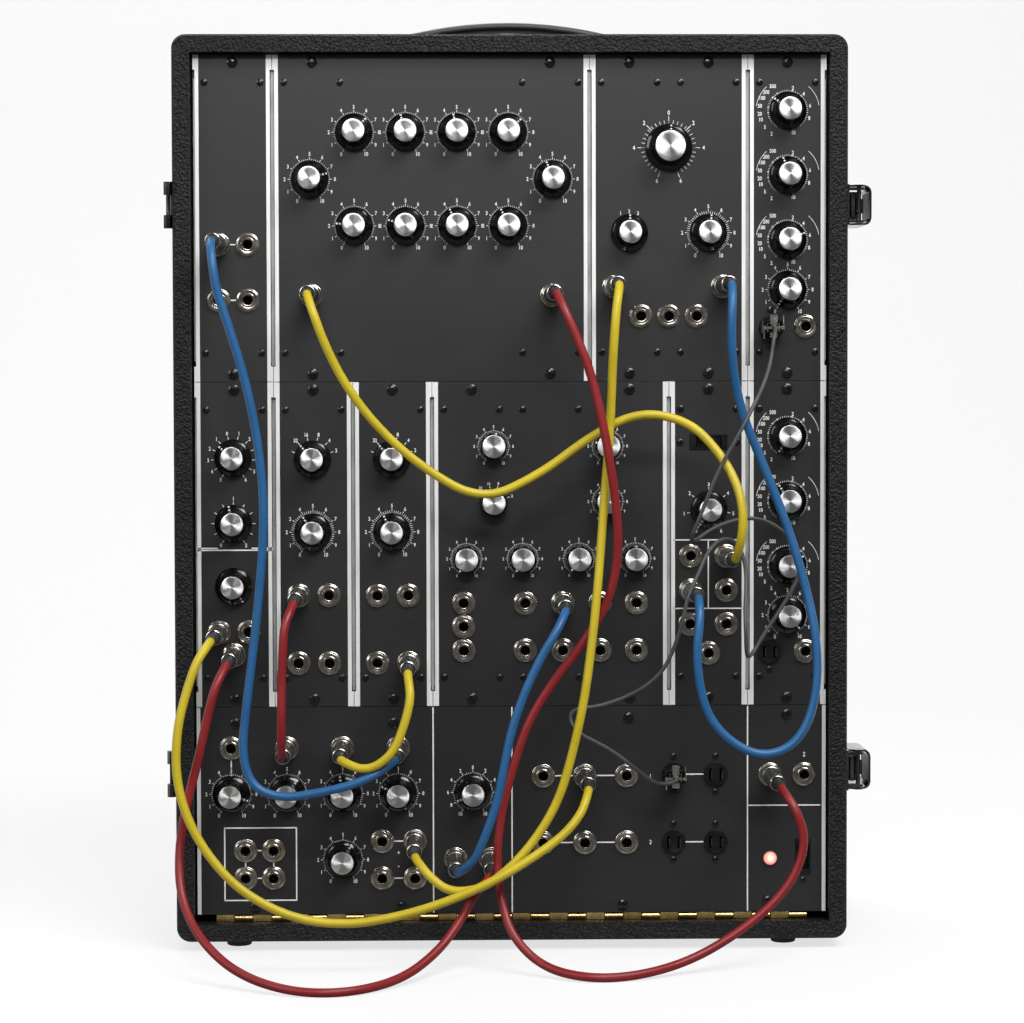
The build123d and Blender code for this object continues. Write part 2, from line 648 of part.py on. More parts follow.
def front_panels():
    """Eleven aluminium plates, cut for everything that goes through them."""
    plates = []
    for module, (first, units, row) in MODULES.items():
        x, z = module_middle(module)
        height = CONSOLE_HEIGHT if row == 3 else ROW_HEIGHT
        outline = plate_outline(units * UNIT - 2 * SIDE_GAP, height - 2 * SIDE_GAP, row != 3)
        outline = Pos(0, SIDE_GAP) * outline
        holes = [
            Pos(right, up) * flat_sided(SHAFT_RADIUS + 0.9, SHAFT_FLATS)
            for kind, right, up in KNOBS.get(module, {}).values()
        ]
        holes += [
            Pos(right, up) * flat_sided(NECK_HOLE, NECK_FLATS)
            for right, up, use in JACKS.get(module, {}).values()
        ]
        holes += [
            Pos(right, up) * flat_sided(SOCKET_NECK + 0.2, NECK_FLATS)
            for right, up, use in TRIGGERS.get(module, {}).values()
        ]
        if module == "amplifier":
            holes.append(Pos(*MODE_PLACE) * Rectangle(MODE_FRAME[0] + 0.4, MODE_FRAME[1] + 0.4))
        if module == "console":
            holes.append(Pos(*POWER_PLACE) * Rectangle(POWER_FRAME[0] + 0.4, POWER_FRAME[1] + 0.4))
            holes.append(Pos(*LAMP_PLACE) * flat_sided(LAMP_NECK + 0.5, NECK_FLATS))
        plates.append(extrude(facing(x, z) * (outline - holes), -PLATE))
    return Compound([solid for plate in plates for solid in plate.solids()])


def jack(front, use):
    """A jack: a hex nut against the panel, and a threaded neck through it, with the bore for the plug."""
    nut = column(front, RegularPolygon(NUT_CORNERS, 6), 0, NUT_THICK)
    neck = column(front, flat_sided(NECK_RADIUS, NECK_FLATS), -NECK_BACK, 0)
    flats = flat_sided(BORE_RADIUS / cos(pi / NECK_FLATS), NECK_FLATS)
    outline = Circle(BORE_RADIUS) if use == "open" else flats
    return nut + neck - column(front, outline, -NECK_BACK - 1, NUT_THICK + 1)


def jack_sockets():
    jacks = [
        jack(facing(*place(module, right, up)), use) for module, name, (right, up, use) in places(JACKS)
    ]
    return Compound([solid for piece in jacks for solid in piece.solids()])


def trigger_socket(front):
    """A round moulded socket with two flat slots for the blades of a plug."""
    body = column(front, flat_sided(SOCKET_RADIUS, SOCKET_SIDES), 0, SOCKET_THICK)
    body += column(front, flat_sided(SOCKET_NECK, NECK_FLATS), -SOCKET_BACK, 0)
    for side in (-1, 1):
        slot = Pos(side * BLADE_PITCH / 2, 0) * Rectangle(*BLADE_SLOT)
        body -= column(front, slot, -SOCKET_BACK + 2, SOCKET_THICK + 1)
    return body


def switch_frame(front, frame, pocket):
    """A slide switch's moulded body: a frame in the panel with a pocket that the slider runs in."""
    body = column(front, Rectangle(*frame), -FRAME_BACK, FRAME_PROUD)
    return body - column(front, Rectangle(*pocket), FRAME_PROUD - POCKET_DEPTH, FRAME_PROUD + 1)


# The mains inlet in the back: the hole in the case, the moulding in it and its pocket
INLET_HALF = (15.0, 12.0)
INLET_X = CASE_X + 115
INLET_Z = FOOT_HEIGHT + WALL + 95
INLET_CUT = (
    INLET_X - INLET_HALF[0],
    BACK_Y - WALL - 1,
    INLET_Z - INLET_HALF[1],
    INLET_X + INLET_HALF[0],
    BACK_Y + 1,
    INLET_Z + INLET_HALF[1],
)


def mains_inlet():
    """A three-pin inlet, flush in the back of the case."""
    wide, tall = INLET_HALF
    outside = block(INLET_X - wide, BACK_Y - 26, INLET_Z - tall, INLET_X + wide, BACK_Y, INLET_Z + tall)
    pocket = block(
        INLET_X - wide + 3, BACK_Y - 18, INLET_Z - tall + 3, INLET_X + wide - 3, BACK_Y + 1, INLET_Z + tall - 3
    )
    pins = [
        block(INLET_X + dx - 1, BACK_Y - 19, INLET_Z + dz - 2, INLET_X + dx + 1, BACK_Y - 4, INLET_Z + dz + 2)
        for dx, dz in ((-7, -1.5), (0, 2.5), (7, -1.5))
    ]
    return outside - pocket + pins


def moulded_sockets():
    """The black mouldings: trigger sockets, the two switch frames and the mains inlet."""
    pieces = [
        trigger_socket(facing(*place(module, right, up)))
        for module, name, (right, up, use) in places(TRIGGERS)
    ]
    pieces.append(switch_frame(facing(*place("amplifier", *MODE_PLACE)), MODE_FRAME, MODE_POCKET))
    pieces.append(switch_frame(facing(*place("console", *POWER_PLACE)), POWER_FRAME, POWER_POCKET))
    pieces.append(mains_inlet())
    return Compound([solid for piece in pieces for solid in piece.solids()])


def slider(front, length_across, length_up, shift):
    """A slide switch's button, ribbed across its travel by one step."""
    right, up = shift
    base = Pos(right, up) * Rectangle(length_across, length_up)
    crown = Pos(right, up) * Rectangle(length_across - 1.6, length_up - 1.6)
    low = FRAME_PROUD - POCKET_DEPTH + SLIDER_GAP
    return column(front, base, low, -0.8) + column(front, crown, -0.8, 0.9)


def mode_slider():
    wide, tall = MODE_POCKET
    reach = (wide - SLIDER_LENGTH) / 2 - SLIDER_GAP
    front = facing(*place("amplifier", *MODE_PLACE))
    return slider(front, SLIDER_LENGTH, tall - 2 * SLIDER_GAP, (reach, 0))


def power_slider():
    wide, tall = POWER_POCKET
    reach = (tall - SLIDER_LENGTH) / 2 - SLIDER_GAP
    front = facing(*place("console", *POWER_PLACE))
    return slider(front, wide - 2 * SLIDER_GAP, SLIDER_LENGTH, (0, reach))


def pilot_lamp():
    """A lens that narrows to a flat top, in a short bezel, on a neck through the panel."""
    front = facing(*place("console", *LAMP_PLACE))
    rise, foot = LAMP_DOME
    body = column(front, flat_sided(LAMP_RADIUS, LAMP_FLATS), 0, LAMP_BEZEL)
    body += tapered(front, foot, foot - 0.8, LAMP_FLATS, LAMP_BEZEL, LAMP_BEZEL + 0.6 * rise)
    body += tapered(front, foot - 0.8, foot - 2.6, LAMP_FLATS, LAMP_BEZEL + 0.6 * rise, LAMP_BEZEL + rise)
    return body + column(front, flat_sided(LAMP_NECK, NECK_FLATS), -9, 0)


def piano_hinge():
    """Two brass leaves whose knuckles interleave along the hinge's axis."""
    axis_z = PANEL_FOOT - HINGE_GAP / 2
    axis_y = PANEL_Y + KNUCKLE_RADIUS
    pitch = HINGE_LENGTH / KNUCKLES
    start = CASE_X - HINGE_LENGTH / 2
    floor = FOOT_HEIGHT + WALL
    end = start + HINGE_LENGTH
    lower = block(start, axis_y, floor, end, axis_y + LEAF_DEPTH, floor + LEAF)
    upper = block(start, PANEL_Y + PLATE, axis_z, end, PANEL_Y + PLATE + LEAF, PANEL_FOOT + 1.9)
    for i in range(KNUCKLES):
        plane = Plane(
            origin=(start + i * pitch + 0.1, axis_y, axis_z), x_dir=(0, 1, 0), z_dir=(1, 0, 0)
        )
        knuckle = extrude(plane * flat_sided(KNUCKLE_RADIUS, KNUCKLE_FLATS), pitch - 0.2)
        if i % 2:
            upper += knuckle
        else:
            lower += knuckle
    return Compound([*lower.solids(), *upper.solids()])


def grip_outline(radius):
    """Lobes of the full radius, parted by shallow flutes."""
    step = pi / FLUTES
    radii = [radius - FLUTE_DEPTH * (i % 2) for i in range(2 * FLUTES)]
    return make_face(Polyline(*[(r * cos(i * step), r * sin(i * step)) for i, r in enumerate(radii)], close=True))


def knob(module, kind, right, up):
    """A moulded knob on its shaft: a fluted grip, with a sloping skirt on most of them."""
    skirt, grip, top = KNOB_KINDS[kind]
    front = facing(*place(module, right, up))
    body = column(front, grip_outline(grip), KNOB_CLEAR, top)
    if skirt:
        body += tapered(front, skirt, grip + SKIRT_STEP, SKIRT_FLATS, KNOB_CLEAR, KNOB_CLEAR + SKIRT_RISE)
    return body + column(front, flat_sided(SHAFT_RADIUS, SHAFT_FLATS), -SHAFT_BACK, KNOB_CLEAR)


def plug(front):
    """A quarter-inch plug: collar, tapering barrel and cord sleeve, and the shaft in the jack."""
    profile = [
        (COLLAR_RADIUS, NUT_THICK + 0.1),
        (COLLAR_RADIUS, COLLAR_END),
        (BARREL_RADIUS, COLLAR_END),
        (BARREL_END_RADIUS, BARREL_END),
    ]
    (collar, start), (_, collar_end), (barrel, _), (tip, end) = profile
    body = column(front, flat_sided(collar, PLUG_SIDES), start, collar_end)
    body += tapered(front, barrel, tip, PLUG_SIDES, collar_end, end)
    body += column(front, flat_sided(SLEEVE_RADIUS, NECK_FLATS), end, SLEEVE_END)
    return body + column(front, flat_sided(PLUG_SHAFT, NECK_FLATS), -PLUG_BACK, start)


def trigger_plug(front):
    """A flat two-blade plug: a moulded body with its blades in the socket."""
    body = column(front, Rectangle(14.0, 9.0), SOCKET_THICK + 0.1, 22.0)
    body += column(front, Rectangle(8.0, 7.0), 22.0, TRIGGER_END)
    for side in (-1, 1):
        blade = Pos(side * BLADE_PITCH / 2, 0) * Rectangle(1.4, 6.6)
        body += column(front, blade, -8.0, SOCKET_THICK + 0.1)
    return body


def patch_plugs():
    pieces = [
        plug(facing(*place(module, right, up)))
        for module, name, (right, up, use) in places(JACKS)
        if use == "plug"
    ]
    pieces += [
        trigger_plug(facing(*place(module, right, up)))
        for module, name, (right, up, use) in places(TRIGGERS)
        if use == "plug"
    ]
    return Compound([solid for piece in pieces for solid in piece.solids()])


def socket_place(name):
    for module, socket, (right, up, use) in [*places(JACKS), *places(TRIGGERS)]:
        if socket == name:
            return place(module, right, up)


def leaving(end, start, run):
    """A cord's first four points: straight ahead out of its plug, then turned along the panels."""
    name, heading = end
    x, z = socket_place(name)
    out, ahead = 0.0, start
    points = [Vector(x, PANEL_Y - ahead, z)]
    for lean in (0, 30, 60):
        out += run * sin(radians(lean))
        ahead += run * cos(radians(lean))
        way = radians(heading)
        points.append(Vector(x + out * sin(way), PANEL_Y - ahead, z + out * cos(way)))
    return points


def cord_points(route, start, run):
    first, between, last = route
    hanging = [Vector(CASE_X + right, PANEL_Y - ahead, PANEL_FOOT + up) for right, ahead, up in between]
    return [*leaving(first, start, run), *hanging, *reversed(leaving(last, start, run))]


def bend_radii(points):
    """At each corner, the largest arc that leaves a tenth of the shorter run straight."""
    radii = []
    for before, corner, after in zip(points, points[1:], points[2:]):
        turn = radians((corner - before).get_angle(after - corner))
        radii.append(0.45 * min((corner - before).length, (after - corner).length) / tan(turn / 2))
    return radii


def cord_tube(name, points, radius, sides):
    """A cord: one section swept along straight runs that tangent arcs join."""
    radii = bend_radii(points)
    path = FilletPolyline(*points, radius=radii)
    section = Plane(origin=path @ 0, z_dir=path % 0) * flat_sided(radius, sides)
    tube = sweep(section, path=path)
    ratio = tube.volume / (section.area * path.length)
    print(f"{name}: {path.length:.0f} mm long, tightest bend {min(radii):.1f} mm, volume ratio {ratio:.4f}")
    return tube


def patch_cords():
    tubes = [
        cord_tube(name, cord_points(route, SLEEVE_END, CORD_RUN), CORD_RADIUS, CORD_SIDES)
        for name, route in CORDS.items()
    ]
    return Compound([solid for tube in tubes for solid in tube.solids()])


def trigger_cord():
    points = cord_points(TRIGGER_CORD, TRIGGER_END, TRIGGER_CORD_RUN)
    return cord_tube("trigger_cord", points, TRIGGER_CORD_RADIUS, TRIGGER_CORD_SIDES)


PARTS = {
    "cabinet_shell": cabinet_shell,
    "rubber_feet": rubber_feet,
    "carry_handle": carry_handle,
    "metal_fittings": metal_fittings,
    "upper_latch_lever": lambda: latch_lever(FITTING_HEIGHTS[0]),
    "lower_latch_lever": lambda: latch_lever(FITTING_HEIGHTS[1]),
    "chassis_and_boards": chassis_and_boards,
    "front_panels": front_panels,
    "jack_sockets": jack_sockets,
    "moulded_sockets": moulded_sockets,
    "mode_slider": mode_slider,
    "power_slider": power_slider,
    "pilot_lamp": pilot_lamp,
    "piano_hinge": piano_hinge,
    "patch_plugs": patch_plugs,
    "patch_cords": patch_cords,
    "trigger_cord": trigger_cord,
}

os.makedirs("parts", exist_ok=True)
for node, make in PARTS.items():
    export_step(make(), f"parts/{node}.step")
for module, node, (kind, right, up) in places(KNOBS):
    export_step(knob(module, kind, right, up), f"parts/{node}.step")
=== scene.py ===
import json

import bpy
import bmesh
import numpy as np
from mathutils import Matrix, Vector


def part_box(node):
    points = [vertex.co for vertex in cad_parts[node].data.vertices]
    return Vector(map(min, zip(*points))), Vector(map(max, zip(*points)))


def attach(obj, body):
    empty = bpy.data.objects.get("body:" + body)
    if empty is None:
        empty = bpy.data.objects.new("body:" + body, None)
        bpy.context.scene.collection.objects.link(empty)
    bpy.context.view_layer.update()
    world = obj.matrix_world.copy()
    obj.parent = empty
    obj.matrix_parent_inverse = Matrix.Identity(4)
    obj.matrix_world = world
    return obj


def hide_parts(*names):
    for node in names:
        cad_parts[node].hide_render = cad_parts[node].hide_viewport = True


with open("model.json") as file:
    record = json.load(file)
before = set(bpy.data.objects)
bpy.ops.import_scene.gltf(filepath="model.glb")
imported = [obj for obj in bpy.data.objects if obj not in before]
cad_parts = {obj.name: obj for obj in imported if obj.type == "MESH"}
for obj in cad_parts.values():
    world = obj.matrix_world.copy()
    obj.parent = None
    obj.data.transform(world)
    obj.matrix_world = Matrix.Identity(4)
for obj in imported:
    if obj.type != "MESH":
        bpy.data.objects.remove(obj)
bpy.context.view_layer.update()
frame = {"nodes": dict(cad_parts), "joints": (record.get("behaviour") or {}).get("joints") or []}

# The view: a long lens two metres in front of the panels, a little above the middle of the case
# and left of it, looking slightly down and to the right.
scene = bpy.context.scene
scene.view_settings.view_transform = "Standard"
CAMERA_AT = Vector((-0.04723, -2.12296, 0.37519))
PITCH, YAW, ROLL = np.radians([2.125, 1.189, -0.143])
FOCAL_PIXELS, IMAGE_WIDTH = 2955.7, 1024
ahead_way = Vector((np.sin(YAW) * np.cos(PITCH), np.cos(YAW) * np.cos(PITCH), -np.sin(PITCH)))
level_right = Vector((np.cos(YAW), -np.sin(YAW), 0))
level_up = level_right.cross(ahead_way)
camera_right = level_right * np.cos(ROLL) + level_up * np.sin(ROLL)
camera_up = level_up * np.cos(ROLL) - level_right * np.sin(ROLL)
camera = bpy.data.objects.new("camera", bpy.data.cameras.new("camera"))
camera.data.lens = 36 * FOCAL_PIXELS / IMAGE_WIDTH
camera.data.clip_end = 20
camera.matrix_world = Matrix(
    [[*row, at] for *row, at in zip(camera_right, camera_up, -ahead_way, CAMERA_AT)] + [[0, 0, 0, 1]]
)
scene.collection.objects.link(camera)
scene.camera = camera

# The panel grid that every piece is placed on: modules a whole number of units wide, two tall rows
# and a low console, with the case's middle and the panels' front and foot read from the frame.
UNIT, ROW_HEIGHT, CONSOLE_HEIGHT = 0.053975, 0.22225, 0.142875
panels_low, panels_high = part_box("front_panels")
PANEL_MIDDLE = (panels_low.x + panels_high.x) / 2
PANEL_FRONT = panels_low.y
PANEL_FOOT = panels_high.z - 2 * ROW_HEIGHT - CONSOLE_HEIGHT + 0.0002
ROW_FOOT = {1: PANEL_FOOT + CONSOLE_HEIGHT + ROW_HEIGHT, 2: PANEL_FOOT + CONSOLE_HEIGHT, 3: PANEL_FOOT}
MODULES = {
    "noise": (0, 1, 1), "bank": (1, 4, 1), "low_pass": (5, 2, 1), "envelope_1": (7, 1, 1),
    "driver": (0, 1, 2), "oscillator_1": (1, 1, 2), "oscillator_2": (2, 1, 2),
    "voltage_oscillator": (3, 3, 2), "amplifier": (6, 1, 2), "envelope_2": (7, 1, 2),
    "console": (0, 8, 3),
}


def module_foot(module):
    """The middle of a module's lower edge: x from the units before it, z from its row."""
    first, units, row = MODULES[module]
    return PANEL_MIDDLE + (first + units / 2 - 4) * UNIT, ROW_FOOT[row]


def on_panel(module, right, up):
    """A place given in millimetres on a module, as x and z in metres."""
    x, z = module_foot(module)
    return x + right / 1000, z + up / 1000


# Patch cords: ten soft-jacketed leads, blue, yellow and red, 6 mm thick, and one thin grey lead.
# Each leaves its plug straight ahead, turns along the panels, and sags to the next plug.
JACKS = {
    "noise": {"white_1": (-10, 93.4), "white_2": (10, 93.4), "pink_1": (-10, 55.6), "pink_2": (10, 55.6)},
    "bank": {"bank_in": (-82.2, 58.7), "bank_out": (82.2, 58.7)},
    "low_pass": {
        "low_pass_in": (-37.4, 64.5), "low_pass_out": (36.8, 64.5),
        "low_pass_control_1": (-19, 44.3), "low_pass_control_2": (0, 44.3), "low_pass_control_3": (19, 44.3),
    },
    "envelope_1": {"envelope_1_out": (12.7, 37.1)},
    "driver": {"driver_in": (-10.9, 51.5), "driver_control": (9.3, 51.5), "driver_out": (-0.8, 35.8)},
    "oscillator_1": {
        "oscillator_1_tooth": (-10.4, 76.4), "oscillator_1_sine": (10.2, 76.4),
        "oscillator_1_pulse": (-10.7, 30), "oscillator_1_triangle": (10.5, 30),
    },
    "oscillator_2": {
        "oscillator_2_tooth": (-10.7, 76.1), "oscillator_2_sine": (10.4, 76.1),
        "oscillator_2_pulse": (-10.8, 30), "oscillator_2_triangle": (10.6, 30),
    },
    "voltage_oscillator": {
        "control_1": (-59.7, 70.7), "control_2": (-59.7, 54.6), "control_3": (-59.7, 38.2),
        "fixed_1": (-17.6, 70.6), "fixed_2": (8.2, 70.8), "fixed_3": (33.7, 70.6), "fixed_4": (58.7, 70.6),
        "variable_1": (-17.6, 38.2), "variable_2": (8.2, 38.2),
        "variable_3": (33.7, 38.2), "variable_4": (58.7, 38.2),
    },
    "amplifier": {
        "signal_1": (-12.1, 102.6), "amplifier_control": (12.1, 102.5), "signal_2": (-12.1, 79),
        "control_b": (12.4, 79), "signal_3": (-12.6, 55.8), "control_c": (12.4, 55.8),
        "amplifier_out": (0.1, 35.9),
    },
    "envelope_2": {"envelope_2_out": (12.7, 36.9)},
    "console": {
        "mixer_in_1": (-192.2, 114.6), "mixer_in_2": (-154.1, 114.6), "mixer_in_3": (-116, 114.6),
        "mixer_in_4": (-77.9, 114.6), "multiple_1": (-182.7, 44.2), "multiple_2": (-163.5, 44.2),
        "multiple_3": (-182.7, 25.1), "multiple_4": (-163.5, 25.1), "mixer_out_1": (-89.1, 50.2),
        "mixer_out_2": (-66.6, 50.2), "mixer_out_3": (-89.1, 24.7), "mixer_out_4": (-66.6, 24.7),
        "attenuator_in": (-38.7, 37.7), "attenuator_out": (-14.8, 37.7),
        "controller_1": (21.4, 94.7), "controller_2": (50, 94.7), "controller_3": (78.7, 94.7),
        "controller_4": (21.4, 48.6), "controller_5": (50, 48.6), "controller_6": (78.7, 48.6),
        "trunk_1": (177.4, 95), "trunk_2": (200.8, 95),
    },
}
TRIGGERS = {
    "envelope_1": {"envelope_1_trigger": (-11.5, 36.2)},
    "envelope_2": {"envelope_2_trigger": (-12, 36.7)},
    "console": {
        "trigger_1": (111, 95.3), "trigger_2": (139.9, 95.3),
        "trigger_3": (111, 48.6), "trigger_4": (139.9, 48.6),
    },
}
SOCKETS = {
    name: on_panel(module, *place)
    for table in (JACKS, TRIGGERS)
    for module, row in table.items()
    for name, place in row.items()
}
CORDS = {
    "blue_long": ("blue", ("white_1", 172), [
        (-194, 81, 424), (-185, 79, 397), (-175, 76, 363), (-167, 73, 320), (-164, 71, 277),
        (-167, 70, 234), (-172, 70, 188), (-177, 71, 148), (-180, 72, 119), (-173, 73, 97),
        (-153, 75, 90), (-129, 78, 94), (-108, 81, 99)], ("mixer_in_4", 238), 0.505),
    "yellow_arch": ("yellow", ("bank_in", 160), [
        (-124, 80, 390), (-112, 76, 365), (-92, 70, 337), (-62, 66, 309), (-21, 62, 285),
        (18, 59, 303), (51, 58, 328), (84, 60, 345), (117, 62, 338), (136, 67, 318),
        (147, 76, 298), (151, 82, 279)], ("amplifier_control", 10), 0.482),
    "red_long": ("red", ("bank_out", 156), [
        (43, 82, 390), (51, 82, 369), (58, 82, 340), (63, 82, 313), (68, 80, 280),
        (69, 77, 247), (62, 73, 217), (45, 70, 190), (26, 69, 166), (9, 69, 139),
        (-1, 70, 109), (-9, 70, 78), (-12, 72, 47), (-9, 78, 22), (-2, 92, 0),
        (18, 104, -18), (47, 127, -21), (80, 118, -21), (116, 97, -15), (149, 90, 3),
        (175, 85, 24), (188, 83, 44), (192, 82, 64)], ("trunk_1", 148), 0.782),
    "yellow_long": ("yellow", ("low_pass_in", 190), [
        (66, 82, 393), (65, 76, 369), (64, 72, 336), (61, 71, 299), (58, 74, 263),
        (55, 79, 227), (51, 82, 191), (46, 84, 155), (38, 84, 119), (29, 82, 88),
        (13, 84, 62), (-5, 88, 43), (-23, 89, 31), (-43, 86, 29)], ("mixer_out_2", 138), 0.515),
    "yellow_low": ("yellow", ("driver_in", 213), [
        (-215, 84, 162), (-221, 88, 138), (-222, 90, 108), (-215, 92, 80), (-201, 93, 55),
        (-180, 95, 32), (-147, 95, 14), (-111, 95, 9), (-75, 96, 15), (-43, 97, 25),
        (-12, 98, 39), (14, 93, 54), (33, 87, 67)], ("controller_2", 202), 0.482),
    "red_loop": ("red", ("driver_out", 205), [
        (-202, 81, 143), (-208, 79, 116), (-216, 79, 87), (-221, 82, 57), (-219, 93, 28),
        (-206, 114, 5), (-180, 138, -14), (-144, 164, -21), (-107, 168, -21), (-74, 131, -20),
        (-51, 106, -7), (-37, 90, 9)], ("attenuator_out", 226), 0.497),
    "red_short": ("red", ("oscillator_1_tooth", 200), [
        (-152, 82, 187), (-153, 80, 168), (-153, 82, 149)], ("mixer_in_2", 3), 0.144),
    "yellow_short": ("yellow", ("oscillator_2_triangle", 172), [
        (-72, 83, 140), (-79, 84, 122), (-90, 83, 112)], ("mixer_in_3", 108), 0.126),
    "blue_right": ("blue", ("low_pass_out", 184), [
        (143, 81, 393), (145, 75, 370), (151, 68, 344), (162, 65, 318), (174, 65, 289),
        (185, 66, 259), (194, 68, 227), (200, 73, 197), (201, 76, 166), (195, 78, 139),
        (182, 80, 122), (162, 81, 117), (142, 81, 127), (128, 81, 143), (122, 81, 164),
        (120, 82, 187)], ("signal_2", 182), 0.504),
    "blue_short": ("blue", ("fixed_2", 208), [
        (18, 82, 184), (7, 83, 161), (-2, 84, 136), (-7, 85, 111), (-12, 85, 86),
        (-20, 84, 64)], ("attenuator_in", 48), 0.232),
}
THIN_CORD = (("envelope_1_trigger", 195), [
    (173, 46, 379), (168, 57, 365), (157, 73, 345), (146, 77, 325), (135, 77, 306),
    (127, 76, 286), (121, 74, 270), (117, 69, 260), (121, 56, 258), (131, 51, 265),
    (144, 50, 271), (163, 48, 274), (180, 46, 266), (191, 44, 253), (194, 43, 240),
    (189, 43, 227), (180, 44, 212), (169, 45, 196), (160, 47, 181), (155, 62, 181),
    (154, 68, 195), (154, 62, 213), (156, 52, 229), (156, 44, 243), (151, 42, 257),
    (140, 47, 260), (130, 56, 252), (123, 63, 237), (115, 68, 221), (112, 67, 205),
    (107, 64, 188), (99, 62, 171), (83, 60, 158), (61, 57, 149), (46, 57, 147),
    (38, 65, 146), (37, 73, 140), (43, 75, 132), (54, 73, 126), (65, 70, 120),
    (82, 61, 106), (94, 50, 96)], ("trigger_1", 262))
JACKETS = {"blue": (0.017, 0.118, 0.3), "yellow": (0.62, 0.48, 0.016), "red": (0.26, 0.012, 0.015)}


def build_nodes(name, base, roughness, metallic=0.0):
    """A new material: its node tree, its shader, and the Object coordinates that patterns read."""
    material = bpy.data.materials.new(name)
    material.use_nodes = True
    tree = material.node_tree
    shader = tree.nodes["Principled BSDF"]
    shader.inputs["Base Color"].default_value = (*base, 1)
    shader.inputs["Roughness"].default_value = roughness
    shader.inputs["Metallic"].default_value = metallic
    place = tree.nodes.new("ShaderNodeTexCoord").outputs["Object"]
    return material, tree, shader, place


def add_node(tree, kind, links=None, **values):
    """One node with its settings, and its inputs linked or set by name or number."""
    node = tree.nodes.new("ShaderNode" + kind)
    for key, value in values.items():
        setattr(node, key, value)
    for socket, source in (links or {}).items():
        if isinstance(source, bpy.types.NodeSocket):
            tree.links.new(source, node.inputs[socket])
        else:
            node.inputs[socket].default_value = source
    return node


def new_group(name, inputs, outputs):
    """A shader node group with named number inputs and named outputs."""
    group = bpy.data.node_groups.new(name, "ShaderNodeTree")
    for socket, (kind, value) in inputs.items():
        made = group.interface.new_socket(socket, in_out="INPUT", socket_type="NodeSocket" + kind)
        if value is not None:
            made.default_value = value
    for socket, kind in outputs.items():
        group.interface.new_socket(socket, in_out="OUTPUT", socket_type="NodeSocket" + kind)
    return group, group.nodes.new("NodeGroupInput"), group.nodes.new("NodeGroupOutput")


# Shared effect: soft uneven colour and sheen, as on anything handled: broad patches and fine specks.
group, given, result = new_group(
    "handled_surface",
    {"Place": ("Vector", None), "Scale": ("Float", 60.0), "Dark": ("Color", (0, 0, 0, 1)),
     "Light": ("Color", (1, 1, 1, 1)), "Smooth": ("Float", 0.3), "Rough": ("Float", 0.5)},
    {"Color": "Color", "Roughness": "Float", "Height": "Float"},
)
broad = add_node(group, "TexNoise", {"Vector": given.outputs["Place"], "Scale": given.outputs["Scale"], "Detail": 3.0})
fine_scale = add_node(group, "Math", {0: given.outputs["Scale"], 1: 14.0}, operation="MULTIPLY")
fine = add_node(group, "TexNoise", {"Vector": given.outputs["Place"], "Scale": fine_scale.outputs[0], "Detail": 2.0})
mixed = add_node(group, "Math", {0: fine.outputs["Fac"], 1: 0.35, 2: broad.outputs["Fac"]}, operation="MULTIPLY_ADD")
spread = add_node(group, "MapRange", {0: mixed.outputs[0], 1: 0.45, 2: 0.9, 3: 0.0, 4: 1.0})
tint = add_node(group, "Mix", {0: spread.outputs[0], 6: given.outputs["Dark"], 7: given.outputs["Light"]}, data_type="RGBA")
gloss = add_node(group, "MapRange", {0: spread.outputs[0], 1: 0.0, 2: 1.0, 3: given.outputs["Smooth"], 4: given.outputs["Rough"]})
group.links.new(tint.outputs[2], result.inputs["Color"])
group.links.new(gloss.outputs[0], result.inputs["Roughness"])
group.links.new(fine.outputs["Fac"], result.inputs["Height"])


def handled_finish(name, dark, light, smooth, rough, scale=60.0, metallic=0.0, bump=0.0, depth=0.0002):
    """A material whose colour and gloss drift between two values, with a faint fine relief."""
    material, tree, shader, place = build_nodes(name, light, rough, metallic)
    surface = add_node(tree, "Group", node_tree=bpy.data.node_groups["handled_surface"])
    values = {"Scale": scale, "Dark": (*dark, 1), "Light": (*light, 1), "Smooth": smooth, "Rough": rough}
    for socket, value in values.items():
        surface.inputs[socket].default_value = value
    tree.links.new(place, surface.inputs["Place"])
    tree.links.new(surface.outputs["Color"], shader.inputs["Base Color"])
    tree.links.new(surface.outputs["Roughness"], shader.inputs["Roughness"])
    if bump:
        relief = add_node(tree, "Bump", {"Strength": bump, "Distance": depth, "Height": surface.outputs["Height"]})
        tree.links.new(relief.outputs[0], shader.inputs["Normal"])
    return material


def leaving(end, start, run):
    """A cord's first points in metres: straight ahead, then leaning 30 and 60 degrees off that way."""
    name, heading = end
    x, z = SOCKETS[name]
    lean = np.radians([0, 30, 60])
    out = np.concatenate([[0], np.cumsum(run * np.sin(lean))])
    ahead = start + np.concatenate([[0], np.cumsum(run * np.cos(lean))])
    way = np.radians(heading)
    return np.stack([x + out * np.sin(way), PANEL_FRONT - ahead, z + out * np.cos(way)], axis=1)


def cord_route(first, between, last, start, run):
    """All control points: out of the first plug, the hanging points, and into the last plug."""
    right, ahead, up = np.array(between, float).T / 1000
    hanging = np.stack([PANEL_MIDDLE + right, PANEL_FRONT - ahead, PANEL_FOOT + up], axis=1)
    return np.concatenate([leaving(first, start, run), hanging, leaving(last, start, run)[::-1]])


def cord_curve(name, points, radius, material):
    """A round NURBS cord with the route's points as its control points."""
    curve = bpy.data.curves.new(name, "CURVE")
    curve.dimensions = "3D"
    curve.bevel_depth = radius
    curve.bevel_resolution = 4
    curve.resolution_u = 10
    spline = curve.splines.new("NURBS")
    spline.points.add(len(points) - 1)
    spline.points.foreach_set("co", np.c_[points, np.ones(len(points))].ravel())
    spline.order_u = 3
    spline.use_endpoint_u = True
    piece = bpy.data.objects.new(name, curve)
    scene.collection.objects.link(piece)
    curve.materials.append(material)
    return piece


